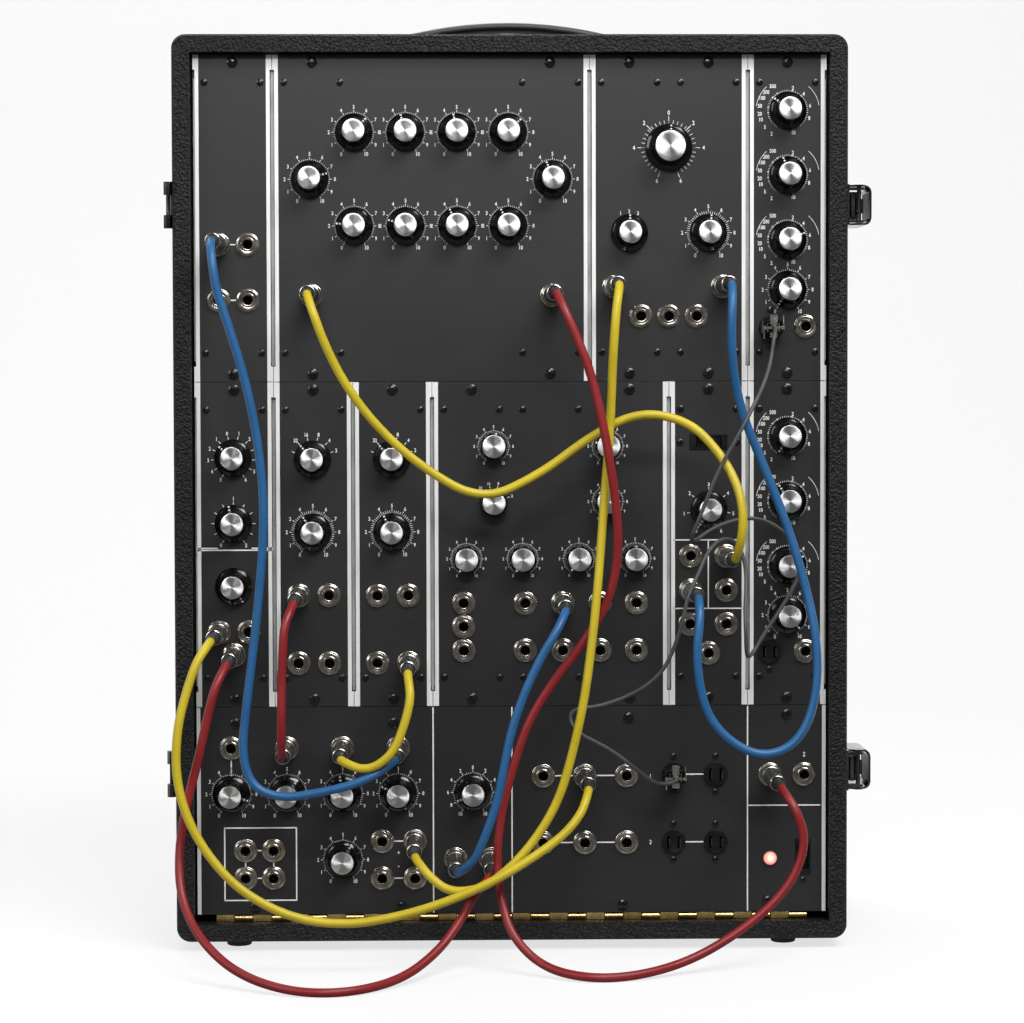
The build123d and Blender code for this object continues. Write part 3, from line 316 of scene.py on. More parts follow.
jackets = {
    colour: handled_finish("jacket_" + colour, tuple(0.82 * c for c in base), base, 0.36, 0.5, 45, bump=0.15)
    for colour, base in JACKETS.items()
}
cord_pieces = {}
for name, (colour, first, between, last, length) in CORDS.items():
    route = cord_route(first, between, last, 0.053, 0.012)
    piece = cord_curve("cord_" + name, route, 0.00295, jackets[colour])
    cord_pieces[name] = (piece, route[0], length, 0.0059)
grey_jacket = handled_finish("jacket_grey", (0.045, 0.045, 0.047), (0.075, 0.075, 0.078), 0.4, 0.55, 60, bump=0.1)
route = cord_route(*THIN_CORD, 0.027, 0.007)
piece = cord_curve("cord_trigger", route, 0.00135, grey_jacket)
cord_pieces["trigger"] = (piece, route[0], 0.749, 0.0027)
for name, (piece, start, length, diameter) in cord_pieces.items():
    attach(piece, "cabinet")
    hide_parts("trigger_cord" if name == "trigger" else "patch_cords")

# The case: plywood with rounded edges under black pebbled vinyl, glued down and turned in at the
# front. The covering is the solid's own surface, so only its pebbled grain is added. Its colour is
# painted lighter on the pebbles' tops as painted highlight, and darker between them as painted shade.
def new_slots(node, material):
    """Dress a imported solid: every material slot of its object shows this material."""
    for one in frame["nodes"][node].material_slots:
        one.material = material


material, tree, shader, place = build_nodes("vinyl_covering", (0.022, 0.022, 0.023), 0.5)
pebbles = add_node(tree, "TexVoronoi", {"Vector": place, "Scale": 600.0, "Randomness": 1.0}, feature="SMOOTH_F1")
wander = add_node(tree, "TexNoise", {"Vector": place, "Scale": 900.0, "Detail": 2.0})
raised = add_node(tree, "Math", {0: pebbles.outputs["Distance"], 1: -1.2, 2: wander.outputs["Fac"]}, operation="MULTIPLY_ADD")
grain = add_node(tree, "Bump", {"Strength": 1.0, "Distance": 0.0009, "Height": raised.outputs[0]})
tree.links.new(grain.outputs[0], shader.inputs["Normal"])
patches = add_node(tree, "TexNoise", {"Vector": place, "Scale": 9.0, "Detail": 4.0})
# Painted highlight and shade: the colour is lighter where the pebbles stand high and darker in the hollows.
painted_relief_shading = add_node(tree, "MapRange", {0: raised.outputs[0], 1: -0.25, 2: 0.45, 3: 0.0, 4: 1.0})
vinyl = add_node(tree, "Mix", {0: painted_relief_shading.outputs[0], 6: (0.002, 0.002, 0.0022, 1), 7: (0.014, 0.014, 0.0146, 1)}, data_type="RGBA")
tree.links.new(vinyl.outputs[2], shader.inputs["Base Color"])
shader.inputs["Specular IOR Level"].default_value = 0.3
sheen = add_node(tree, "MapRange", {0: patches.outputs["Fac"], 1: 0.3, 2: 0.7, 3: 0.42, 4: 0.56})
tree.links.new(sheen.outputs[0], shader.inputs["Roughness"])
new_slots("cabinet_shell", material)


# The feet: four moulded rubber buttons, narrower at the table, each with a rounded lower edge and a
# hollow for its screw.
def grid_faces(rows, columns, copies=1):
    """Four-sided faces between neighbouring rows and columns of points, for each copy of the grid."""
    copy, row, column = np.meshgrid(
        np.arange(copies), np.arange(rows - 1), np.arange(columns - 1), indexing="ij"
    )
    corner = (copy * rows + row) * columns + column
    return np.stack([corner, corner + 1, corner + columns + 1, corner + columns], -1).reshape(-1, 4)


def add_piece(name, points, faces, materials=(), kinds=None, uv=None, body="cabinet", sharp=35, turn=True):
    """A mesh of points and faces that rides on a body: doubles merged, faces turned outwards, and the
    edges that are sharper than an angle kept crisp. uv holds a place for each point."""
    mesh = bpy.data.meshes.new(name)
    mesh.from_pydata(points.reshape(-1, 3), [], faces)
    if uv is not None:
        corners = np.empty(len(mesh.loops), np.int32)
        mesh.loops.foreach_get("vertex_index", corners)
        mesh.uv_layers.new(name="wrap").data.foreach_set("uv", uv.reshape(-1, 2)[corners].ravel())
    if kinds is not None:
        mesh.polygons.foreach_set("material_index", kinds.astype(np.int32))
    work = bmesh.new()
    work.from_mesh(mesh)
    bmesh.ops.remove_doubles(work, verts=work.verts, dist=2e-6)
    bmesh.ops.dissolve_degenerate(work, edges=work.edges, dist=1e-7)
    if turn:
        bmesh.ops.recalc_face_normals(work, faces=work.faces)
    work.to_mesh(mesh)
    work.free()
    mesh.shade_smooth()
    mesh.set_sharp_from_angle(angle=np.radians(sharp))
    for material in materials:
        mesh.materials.append(material)
    piece = bpy.data.objects.new(name, mesh)
    scene.collection.objects.link(piece)
    if body:
        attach(piece, body)
    return piece


def turned_rings(radius, height, centres, starts=(0.0,)):
    """Rings about parallel axes. radius and height have a row for each ring and a column for each step
    of a full circle; each copy starts at its own angle. Gives across, up, height and the wrap."""
    radius, height = np.broadcast_arrays(radius, height)
    angle = np.linspace(0, 2 * np.pi, radius.shape[1]) + np.reshape(starts, (-1, 1, 1))
    centres = np.asarray(centres, float).reshape(-1, 2)
    across = centres[:, 0, None, None] + radius * np.cos(angle)
    up = centres[:, 1, None, None] + radius * np.sin(angle)
    wrap = np.stack(np.broadcast_arrays(np.linspace(0, 1, radius.shape[1]), radius * 100), -1)
    return across, up, np.broadcast_to(height, across.shape), np.broadcast_to(wrap, (*across.shape, 2))


rubber = handled_finish("foot_rubber", (0.008, 0.008, 0.008), (0.02, 0.02, 0.02), 0.6, 0.85, 90, bump=0.3)
feet_low, feet_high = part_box("rubber_feet")
profile = np.array([(0.0, 2.5), (2.4, 2.5), (2.6, 0.4), (3.2, 0.0), (7.6, 0.0), (8.3, 0.35), (8.6, 1.1), (9.1, 6.0), (9.1, 7.0), (0.0, 7.0)]) / 1000
foot_spots = [(x, y) for x in (feet_low.x + 0.0095, feet_high.x - 0.0095) for y in (feet_low.y + 0.0095, feet_high.y - 0.0095)]
x, y, z, wrap = turned_rings(profile[:, :1] + np.zeros(33), profile[:, 1:], foot_spots)
feet = add_piece("feet", np.stack([x, y, z], -1), grid_faces(len(profile), 33, 4), [rubber])
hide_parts("rubber_feet")

# Behind the panels: plated steel rails and flanges, pots and circuit boards, hardly seen. The
# flanges show as a dull grey line in the slots between the modules.
zinc = handled_finish("chassis_zinc", (0.4, 0.4, 0.4), (0.6, 0.6, 0.59), 0.32, 0.5, 40, metallic=0.3, bump=0.1)
new_slots("chassis_and_boards", zinc)

# The panels: aluminium plates, painted near black and rubbed along their length, so that the light
# streaks across them. Their long sides are left bare, in two strips a few millimetres wide.
material, tree, shader, place = build_nodes("panel_black", (0.02, 0.02, 0.021), 0.42)
stretch = add_node(tree, "Mapping", {"Vector": place, "Scale": (9.0, 60.0, 900.0)})
strokes = add_node(tree, "TexNoise", {"Vector": stretch.outputs[0], "Scale": 1.0, "Detail": 5.0, "Roughness": 0.7})
clouds = add_node(tree, "TexNoise", {"Vector": place, "Scale": 7.0, "Detail": 3.0})
specks = add_node(tree, "TexNoise", {"Vector": place, "Scale": 2600.0, "Detail": 1.0})
shade = add_node(tree, "Mix", {0: strokes.outputs["Fac"], 6: (0.009, 0.009, 0.0095, 1), 7: (0.019, 0.019, 0.02, 1)}, data_type="RGBA")
tree.links.new(shade.outputs[2], shader.inputs["Base Color"])
gloss = add_node(tree, "Math", {0: strokes.outputs["Fac"], 1: 0.14, 2: clouds.outputs["Fac"]}, operation="MULTIPLY_ADD")
matt = add_node(tree, "MapRange", {0: gloss.outputs[0], 1: 0.35, 2: 0.8, 3: 0.36, 4: 0.5})
tree.links.new(matt.outputs[0], shader.inputs["Roughness"])
rough = add_node(tree, "Math", {0: specks.outputs["Fac"], 1: 0.5, 2: strokes.outputs["Fac"]}, operation="MULTIPLY_ADD")
relief = add_node(tree, "Bump", {"Strength": 0.12, "Distance": 0.0001, "Height": rough.outputs[0]})
tree.links.new(relief.outputs[0], shader.inputs["Normal"])
new_slots("front_panels", material)

material, tree, shader, place = build_nodes("bare_aluminium", (0.9, 0.9, 0.88), 0.4, 0.35)
stretch = add_node(tree, "Mapping", {"Vector": place, "Scale": (1500.0, 60.0, 14.0)})
lines = add_node(tree, "TexNoise", {"Vector": stretch.outputs[0], "Scale": 1.0, "Detail": 4.0})
shade = add_node(tree, "Mix", {0: lines.outputs["Fac"], 6: (0.82, 0.82, 0.8, 1), 7: (0.96, 0.96, 0.94, 1)}, data_type="RGBA")
tree.links.new(shade.outputs[2], shader.inputs["Base Color"])
matt = add_node(tree, "MapRange", {0: lines.outputs["Fac"], 1: 0.3, 2: 0.7, 3: 0.38, 4: 0.56})
tree.links.new(matt.outputs[0], shader.inputs["Roughness"])
bare = material
PAINT = 0.00004


def flat_patches(across, up, size_across, size_up, tilt, proud):
    """Thin rectangles on the panels: the corners of each, turned clockwise by its tilt in degrees."""
    across, up, wide, tall, tilt = np.broadcast_arrays(across, up, size_across, size_up, np.radians(tilt))
    s = np.array([-0.5, 0.5, 0.5, -0.5]) * wide[:, None]
    t = np.array([-0.5, -0.5, 0.5, 0.5]) * tall[:, None]
    cos, sin = np.cos(tilt)[:, None], np.sin(tilt)[:, None]
    x = across[:, None] + s * cos + t * sin
    z = up[:, None] - s * sin + t * cos
    return np.stack([x, np.full(x.shape, PANEL_FRONT - proud), z], -1)


edges = []
for module, (first, units, row) in MODULES.items():
    middle, foot = module_foot(module)
    tall = CONSOLE_HEIGHT if row == 3 else ROW_HEIGHT
    half = units * UNIT / 2 - 0.0002
    notch = 0.0 if row == 3 else 0.0013
    for side in (-1, 1):
        wide = 0.0026
        edges.append((middle + side * (half - notch - wide / 2), foot + tall / 2, wide, tall - 0.0006))
        if notch:
            for end in (0.00535, tall - 0.00535):
                edges.append((middle + side * (half - notch / 2), foot + end, notch, 0.0103))
edges = np.array(edges)
points = flat_patches(*edges.T, 0.0, PAINT)
bare_edges = add_piece("bare_edges", points, np.arange(points.size // 3).reshape(-1, 4), [bare], turn=False)
slots = []
for module, (first, units, row) in MODULES.items():
    if row < 3 and first + units < 8:
        middle, foot = module_foot(module)
        slots.append((middle + units * UNIT / 2, foot + ROW_HEIGHT / 2, 0.0019, ROW_HEIGHT - 0.0222))
points = flat_patches(*np.array(slots).T, 0.0, -0.0026)
slot_flanges = add_piece("slot_flanges", points, np.arange(points.size // 3).reshape(-1, 4), [zinc], turn=False)

# Printing on the panels: white lines, dial ticks and plain numbers, screened on in thin ink.
ink = handled_finish("panel_ink", (0.78, 0.78, 0.76), (0.9, 0.9, 0.88), 0.5, 0.62, 200)
BAND_DIALS = [f"bank_band_{i}" for i in range(1, 9)] + ["bank_lowest", "bank_highest"]
ZERO_TO_TEN = [(30 * i - 150, str(i)) for i in range(11)]
TIMES = [(-145, "2"), (-126, "5"), (-109, "10"), (-97, "20"), (-81, "50"), (-64, "100"), (-50, "200"),
         (-32, "500"), (13, "2"), (44, "4"), (78, "6"), (110, "8"), (165, "10")]
SIX_RANGES = [(-70, ""), (-42, "32"), (-14, "16"), (14, "8"), (42, "4"), (70, "2")]
DIALS = {name: ZERO_TO_TEN for name in [*BAND_DIALS, "low_pass_feedback", "oscillator_1_range", "oscillator_2_range", "envelope_1_sustain",
         "envelope_2_sustain", "mixer_1", "mixer_2", "mixer_3", "mixer_4", "mixer_master",
         "voltage_oscillator_width", "voltage_oscillator_depth", "voltage_oscillator_frequency",
         "voltage_oscillator_level_1", "voltage_oscillator_level_2", "voltage_oscillator_level_3",
         "voltage_oscillator_level_4"]}
DIALS |= {name: TIMES for name in ["envelope_1_attack", "envelope_1_decay", "envelope_1_release",
          "envelope_2_attack", "envelope_2_decay", "envelope_2_release"]}
DIALS |= {name: SIX_RANGES for name in ["oscillator_1_frequency", "oscillator_2_frequency", "voltage_oscillator_range"]}
DIALS["driver_frequency"] = [(30 * i - 150, {0: "0", 5: "1", 10: "2"}.get(i, "")) for i in range(11)]
DIALS["low_pass_cutoff"] = [(-160, "6"), (-90, "4"), (-45, "2"), (0, "0"), (45, "2"), (90, "4"), (160, "6")]
DIALS["low_pass_range"] = [(-24, "1"), (0, "2"), (24, "3")]
DIALS["driver_scale"] = [(27.3 * i - 150, str(abs(i - 5))) for i in range(12)]
DIALS["amplifier_gain"] = [(50 * i - 150, str(i)) for i in range(7)]
DIALS["attenuator"] = [(30 * i - 150, str(abs(10 - 2 * i))) for i in range(11)]
KNOB_AXES = {
    joint["child"][:-5]: (joint["pos_m"][0], joint["pos_m"][2])
    for joint in frame["joints"] if joint["child"].endswith("_knob")
}


def knob_kind(name):
    """Whether a knob is the large one, a plain one with no skirt, or one of the skirted ones."""
    if name == "low_pass_cutoff":
        return "large"
    return "plain" if name.startswith("voltage_oscillator") else "skirted"


def figure(text, height, cache={}):
    """The flat outline of a number, middle at zero: its corners and its triangles."""
    if text not in cache:
        curve = bpy.data.curves.new("figure", "FONT")
        curve.body, curve.size, curve.align_x, curve.align_y = text, 1.0, "CENTER", "CENTER"
        curve.resolution_u, curve.offset = 3, 0.018
        holder = bpy.data.objects.new("figure", curve)
        scene.collection.objects.link(holder)
        flat = bpy.data.meshes.new_from_object(holder.evaluated_get(bpy.context.evaluated_depsgraph_get()))
        flat.calc_loop_triangles()
        corners = np.empty(len(flat.vertices) * 3)
        flat.vertices.foreach_get("co", corners)
        faces = np.empty(len(flat.loop_triangles) * 3, np.int32)
        flat.loop_triangles.foreach_get("vertices", faces)
        bpy.data.objects.remove(holder)
        bpy.data.curves.remove(curve)
        bpy.data.meshes.remove(flat)
        corners = corners.reshape(-1, 3)[:, :2] * (0.82, 1.0)
        cache[text] = corners - (corners.min(0) + corners.max(0)) / 2, faces.reshape(-1, 3)
    corners, faces = cache[text]
    return corners * height, faces


# For each dial: where its ticks start, where the short and the long ones end, the radius of its
# numbers and their height, all in millimetres, and how many steps the short ticks make.
LAYOUT = {"skirted": (12.9, 13.8, 15.0, 17.1, 2.5, 50), "large": (16.4, 18.8, 21.4, 23.8, 2.8, 32), "plain": (10.1, 10.9, 11.6, 13.3, 2.0, 50)}
ticks, figures = [], []
for name, marks in DIALS.items():
    x, z = KNOB_AXES[name]
    inner, short, outer, label, tall, steps = LAYOUT[knob_kind(name)]
    if name in ("low_pass_feedback", "oscillator_1_range", "oscillator_2_range"):
        short, outer, label = 14.7, 16.0, 17.9
    if marks is TIMES:
        short, outer = 13.9, 14.1
        for angle in [*range(-80, -42, 3), *range(43, 81, 3)]:
            ticks.append((x, z, angle, 21.4, 21.75, 1.25))
    if name == "low_pass_range":
        outer, label = inner, 14.6
    elif marks is not SIX_RANGES and name not in ("amplifier_gain", "driver_scale", "driver_frequency"):
        for angle in np.linspace(marks[0][0], marks[-1][0], steps + 1):
            ticks.append((x, z, angle, inner, short, 0.32))
    for angle, text in marks:
        if outer > inner:
            ticks.append((x, z, angle, inner, outer, 0.44))
        if text:
            way = np.radians(angle)
            out = label if marks is not TIMES else 19.3 if angle < 0 else 15.6
            figures.append((text, x + out / 1000 * np.sin(way), z + out / 1000 * np.cos(way), tall / 690))
ticks = np.array(ticks)
way = np.radians(ticks[:, 2])
middle = (ticks[:, 3] + ticks[:, 4]) / 2000
rules = [flat_patches(ticks[:, 0] + middle * np.sin(way), ticks[:, 1] + middle * np.cos(way),
                      ticks[:, 5] / 1000, (ticks[:, 4] - ticks[:, 3]) / 1000, ticks[:, 2], PAINT)]
RULED = [
    ("driver", (-26.0, 108.8), (-11.5, 108.8)), ("driver", (11.5, 108.8), (26.0, 108.8)),
    ("driver", (-26.0, 107.5), (26.0, 107.5)),
    ("amplifier", (-24.0, 113.5), (24.0, 113.5)), ("amplifier", (0.0, 66.5), (0.0, 113.5)),
    ("amplifier", (-24.0, 66.5), (24.0, 66.5)),
    ("console", (-197.5, 59.8), (-147.4, 59.8)), ("console", (-197.5, 9.9), (-147.4, 9.9)),
    ("console", (-197.0, 9.9), (-197.0, 59.8)), ("console", (-147.9, 9.9), (-147.9, 59.8)),
    ("console", (162.5, 73.6), (212.0, 73.6)), ("console", (-192.2, 95.6), (-192.2, 106.2)),
    ("console", (-53.975, 0.6), (-53.975, 142.2)), ("console", (0.0, 0.6), (0.0, 142.2)),
    ("console", (161.925, 0.6), (161.925, 142.2)),
]
# Short rules join the jacks that share one signal; each stops at the edges of its two nuts.
LINKED = [("multiple_1", "multiple_2"), ("multiple_3", "multiple_4"), ("multiple_1", "multiple_3"), ("multiple_2", "multiple_4"),
          ("mixer_out_1", "mixer_out_2"), ("mixer_out_3", "mixer_out_4"), ("controller_1", "controller_2"),
          ("controller_2", "controller_3"), ("controller_4", "controller_5"), ("controller_5", "controller_6"),
          ("trigger_1", "trigger_2"), ("trigger_3", "trigger_4"), ("white_1", "white_2"), ("pink_1", "pink_2")]
ruled = [[*on_panel(module, *a), *on_panel(module, *b)] for module, a, b in RULED]
for a, b in LINKED:
    a, b = np.array(SOCKETS[a]), np.array(SOCKETS[b])
    off = 0.0082 * (b - a) / np.linalg.norm(b - a)
    ruled.append([*(a + off), *(b - off)])
ruled = np.array(ruled)
span = ruled[:, 2:] - ruled[:, :2]
rules.append(flat_patches(*(ruled[:, :2] + span / 2).T, 0.0009, np.hypot(*span.T), np.degrees(np.arctan2(*span.T)), PAINT))
SIGNS = [("+", "console", -77.9, 42.2), ("-", "console", -77.9, 32.8), ("1", "console", 95.1, 94.0),
         ("2", "console", 95.1, 48.6), ("1", "console", 177.4, 108.7), ("2", "console", 200.8, 108.7)]
for text, module, right, up in SIGNS:
    figures.append((text, *on_panel(module, right, up), 0.0042))
points = np.concatenate(rules)
print_lines = add_piece("panel_print", points, np.arange(points.size // 3).reshape(-1, 4), [ink], turn=False)
corners, faces, count = [], [], 0
for text, x, z, height in figures:
    outline, triangles = figure(text, height)
    corners.append(np.stack([x + outline[:, 0], np.full(len(outline), PANEL_FRONT - PAINT), z + outline[:, 1]], -1))
    faces.append(triangles + count)
    count += len(outline)
dial_numbers = add_piece("dial_numbers", np.concatenate(corners), np.concatenate(faces), [ink], turn=False)

# Screws: black pan heads with a cross recess hold each panel to the rails, large ones at its corners
# and small ones beside each module's middle.
black_screw = handled_finish("screw_black", (0.003, 0.003, 0.003), (0.012, 0.012, 0.012), 0.14, 0.26, 300)
rng = np.random.default_rng(7)
LARGE_UNITS = {1: (0.5, 1.5, 4.5, 5.5, 6.5, 7.5), 2: (0.5, 1.5, 2.5, 3.5, 5.5, 6.5, 7.5)}
heads = []
for row, units in LARGE_UNITS.items():
    for unit in units:
        x = PANEL_MIDDLE + (unit - 4) * UNIT
        heads += [(x, ROW_FOOT[row] + up, 0.00375) for up in (0.0054, ROW_HEIGHT - 0.0054)]
for right, up in ((-188.9, 131.8), (-81.0, 131.8), (80.0, 134.5), (188.9, 136.5), (-176.0, 5.0), (-76.0, 5.0), (76.0, 5.5), (176.0, 7.5)):
    heads.append((PANEL_MIDDLE + right / 1000, ROW_FOOT[3] + up / 1000, 0.00375))
for row, units in {1: (0, 1, 4, 5, 6, 7), 2: (0, 1, 2, 3, 4, 6, 7)}.items():
    for unit in units:
        x = PANEL_MIDDLE + (unit - 3.5) * UNIT
        heads += [(x + side, ROW_FOOT[row] + up, 0.0024) for side in (-0.019, 0.019) for up in (0.0198, ROW_HEIGHT - 0.019)]
for module, row in TRIGGERS.items():
    for x, z in (on_panel(module, *at) for at in row.values()):
        heads += [(x, z + side, 0.0024) for side in (-0.0123, 0.0123)]
for at in ((-19.3, 180.4), (19.5, 180.4)):
    heads.append((*on_panel("amplifier", *at), 0.0024))
for at in ((200.1, 54.3), (200.1, 21.8)):
    heads.append((*on_panel("console", *at), 0.0022))
heads = np.array(heads)
steps = np.array([-1, -0.93, -0.75, -0.58, -0.54, -0.3, -0.15, -0.11, 0.11, 0.15, 0.3, 0.54, 0.58, 0.75, 0.93, 1.0])
s, t = np.meshgrid(steps, steps)
# A square of steps pressed into a disc; the head is a low dome, and the cross is sunk into it.
x, z = s * np.sqrt(1 - t**2 / 2), t * np.sqrt(1 - s**2 / 2)
far = np.hypot(x, z)
dome = 0.52 * np.sqrt(np.clip(1 - (0.86 * far) ** 2, 0, 1)) * (far < 0.99)
cross = ((np.abs(x) < 0.125) | (np.abs(z) < 0.125)) & (far < 0.56)
rise = np.where(cross, dome - 0.3, dome)
spin = rng.uniform(0, np.pi, (len(heads), 1, 1))
size = heads[:, 2, None, None]
points = np.stack([
    heads[:, 0, None, None] + size * (x * np.cos(spin) - z * np.sin(spin)),
    PANEL_FRONT - size * rise,
    heads[:, 1, None, None] + size * (x * np.sin(spin) + z * np.cos(spin)),
], -1)
screws = add_piece("panel_screws", points, grid_faces(16, 16, len(heads)), [black_screw], sharp=28)

# Jacks: a round washer and a hex nut, each turned as it happened to tighten, on a threaded neck whose
# mouth takes the plug. Nickel, warm and a little dull.
nickel = handled_finish("jack_nickel", (0.3, 0.28, 0.24), (0.58, 0.54, 0.47), 0.14, 0.27, 160, metallic=1.0, bump=0.08, depth=0.0001)
jack_places = np.array([SOCKETS[name] for row in JACKS.values() for name in row])
# Each ring is a radius and a height; the nut's rings follow six flats, whose distance from the axis
# is the half width over the cosine of the turn past the nearest flat's middle.
turn = np.linspace(0, 2 * np.pi, 49)
hexagon = 6.84 / np.cos((turn + np.pi / 6) % (np.pi / 3) - np.pi / 6)
rings = [(3.2, -12.0), (4.65, -12.0), (4.65, -0.2), (7.9, -0.2), (7.95, 0.35), (7.7, 0.5), (6.9, 0.5)]
radius = np.array([r + 0 * turn for r, h in rings])
height = np.array([h + 0 * turn for r, h in rings])
radius = np.vstack([radius, hexagon - 0.05, hexagon, hexagon, 6.75 + 0 * turn])
height = np.vstack([height, 0.5 + 0 * turn, 0.6 + 0 * turn, 2.45 - 0.5 * (hexagon - 6.84), 2.5 + 0 * turn])
for r, h in [(5.15, 2.5), (4.75, 2.35), (4.78, 2.6), (4.62, 2.7), (4.78, 2.8), (4.62, 2.9), (4.75, 3.0), (4.5, 3.18), (3.75, 3.2), (3.45, 3.1), (3.2, 2.8), (3.2, -12.0)]:
    radius, height = np.vstack([radius, r + 0 * turn]), np.vstack([height, h + 0 * turn])
x, z, h, wrap = turned_rings(radius / 1000, height / 1000, jack_places, rng.uniform(0, 2 * np.pi, len(jack_places)))
jacks = add_piece("jack_nuts", np.stack([x, PANEL_FRONT - h, z], -1), grid_faces(len(radius), 49, len(jack_places)), [nickel], uv=wrap, sharp=24)
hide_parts("jack_sockets")
# Painted shade behind each bore: a near-black cup that stands for the shade inside, so that an empty jack looks deep.
dark = handled_finish("socket_dark", (0.003, 0.003, 0.003), (0.008, 0.008, 0.008), 0.5, 0.7, 200)
radius = np.array([0.0, 3.15, 3.15, 3.35, 3.35, 0.0])[:, None] + np.zeros(25)
height = np.array([-11.6, -11.6, -3.4, -3.4, -11.9, -11.9])[:, None]
x, z, h, wrap = turned_rings(radius / 1000, height / 1000, jack_places)
bore_shade_cups = add_piece("jack_contacts", np.stack([x, PANEL_FRONT - h, z], -1), grid_faces(6, 25, len(jack_places)), [dark])

# Trigger sockets: round black mouldings with two flat slots, each held by a small screw above and
# below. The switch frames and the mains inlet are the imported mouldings.
moulding = handled_finish("moulded_black", (0.002, 0.002, 0.002), (0.008, 0.008, 0.008), 0.18, 0.36, 120, bump=0.12)
new_slots("moulded_sockets", moulding)
trigger_places = np.array([SOCKETS[name] for row in TRIGGERS.values() for name in row])
profile = np.array([(6.9, 0.0), (8.15, 0.0), (8.15, 1.8), (7.75, 2.25), (5.9, 2.25), (5.7, 2.2), (5.7, 0.0)]) / 1000
x, z, h, wrap = turned_rings(profile[:, :1] + np.zeros(49), profile[:, 1:], trigger_places)
rims = add_piece("trigger_rims", np.stack([x, PANEL_FRONT - h, z], -1), grid_faces(len(profile), 49, len(trigger_places)), [moulding])
contacts = [((-3.0, -3.3, -4.0), (-2.55, 2.7, 1.9), 0), ((4.2, -3.3, -4.0), (4.65, 2.7, 1.9), 0)]

# Knobs: black moulded grips with eight shallow flutes, most on a sloping skirt, each with a spun
# aluminium disc let into its face and two white dots that point at the dial.
knob_black = handled_finish("knob_black", (0.001, 0.001, 0.001), (0.004, 0.004, 0.004), 0.1, 0.2, 150, bump=0.04)
white_dot = handled_finish("dot_white", (0.7, 0.7, 0.68), (0.85, 0.85, 0.82), 0.45, 0.55, 300)
material, tree, shader, place = build_nodes("spun_aluminium", (0.8, 0.8, 0.8), 0.3, 1.0)
shader.inputs["Anisotropic"].default_value = 0.95
wrap_map = add_node(tree, "UVMap", uv_map="wrap")
tree.links.new(add_node(tree, "Tangent", direction_type="UV_MAP", uv_map="wrap").outputs[0], shader.inputs["Tangent"])
split = add_node(tree, "SeparateXYZ", {0: wrap_map.outputs[0]})
groove_place = add_node(tree, "CombineXYZ", {0: add_node(tree, "Math", {0: split.outputs[0], 1: 3.0}, operation="MULTIPLY").outputs[0],
                                             1: add_node(tree, "Math", {0: split.outputs[1], 1: 90.0}, operation="MULTIPLY").outputs[0]})
grooves = add_node(tree, "TexNoise", {"Vector": groove_place.outputs[0], "Scale": 1.0, "Detail": 4.0})
shade = add_node(tree, "Mix", {0: grooves.outputs["Fac"], 6: (0.66, 0.66, 0.66, 1), 7: (0.92, 0.92, 0.92, 1)}, data_type="RGBA")
tree.links.new(shade.outputs[2], shader.inputs["Base Color"])
matt = add_node(tree, "MapRange", {0: grooves.outputs["Fac"], 1: 0.3, 2: 0.7, 3: 0.36, 4: 0.46})
tree.links.new(matt.outputs[0], shader.inputs["Roughness"])
spun = material
POINTERS = {
    "bank_band_1": 42, "bank_band_2": -15, "bank_band_3": -11, "bank_band_4": 45, "bank_band_5": -83,
    "bank_band_6": -72, "bank_band_7": -24, "bank_band_8": -25, "bank_lowest": 72, "bank_highest": -20,
    "low_pass_cutoff": 6, "low_pass_range": 2, "low_pass_feedback": 10, "envelope_1_attack": -50,
    "envelope_1_decay": -16, "envelope_1_release": 68, "envelope_1_sustain": -148, "driver_scale": -51,
    "driver_frequency": -15, "driver_width": 150, "oscillator_1_frequency": -42, "oscillator_1_range": -33,
    "oscillator_2_frequency": -43, "oscillator_2_range": -27, "voltage_oscillator_frequency": 10,
    "voltage_oscillator_range": 0, "voltage_oscillator_width": -73, "voltage_oscillator_depth": -45,
    "voltage_oscillator_level_1": -150, "voltage_oscillator_level_2": -150,
    "voltage_oscillator_level_3": -143, "voltage_oscillator_level_4": 0, "amplifier_gain": -150,
    "envelope_2_attack": -150, "envelope_2_decay": -30, "envelope_2_release": 60, "envelope_2_sustain": 140,
    "mixer_1": 111, "mixer_2": 37, "mixer_3": -9, "mixer_4": -67, "mixer_master": 29, "attenuator": -119,
}
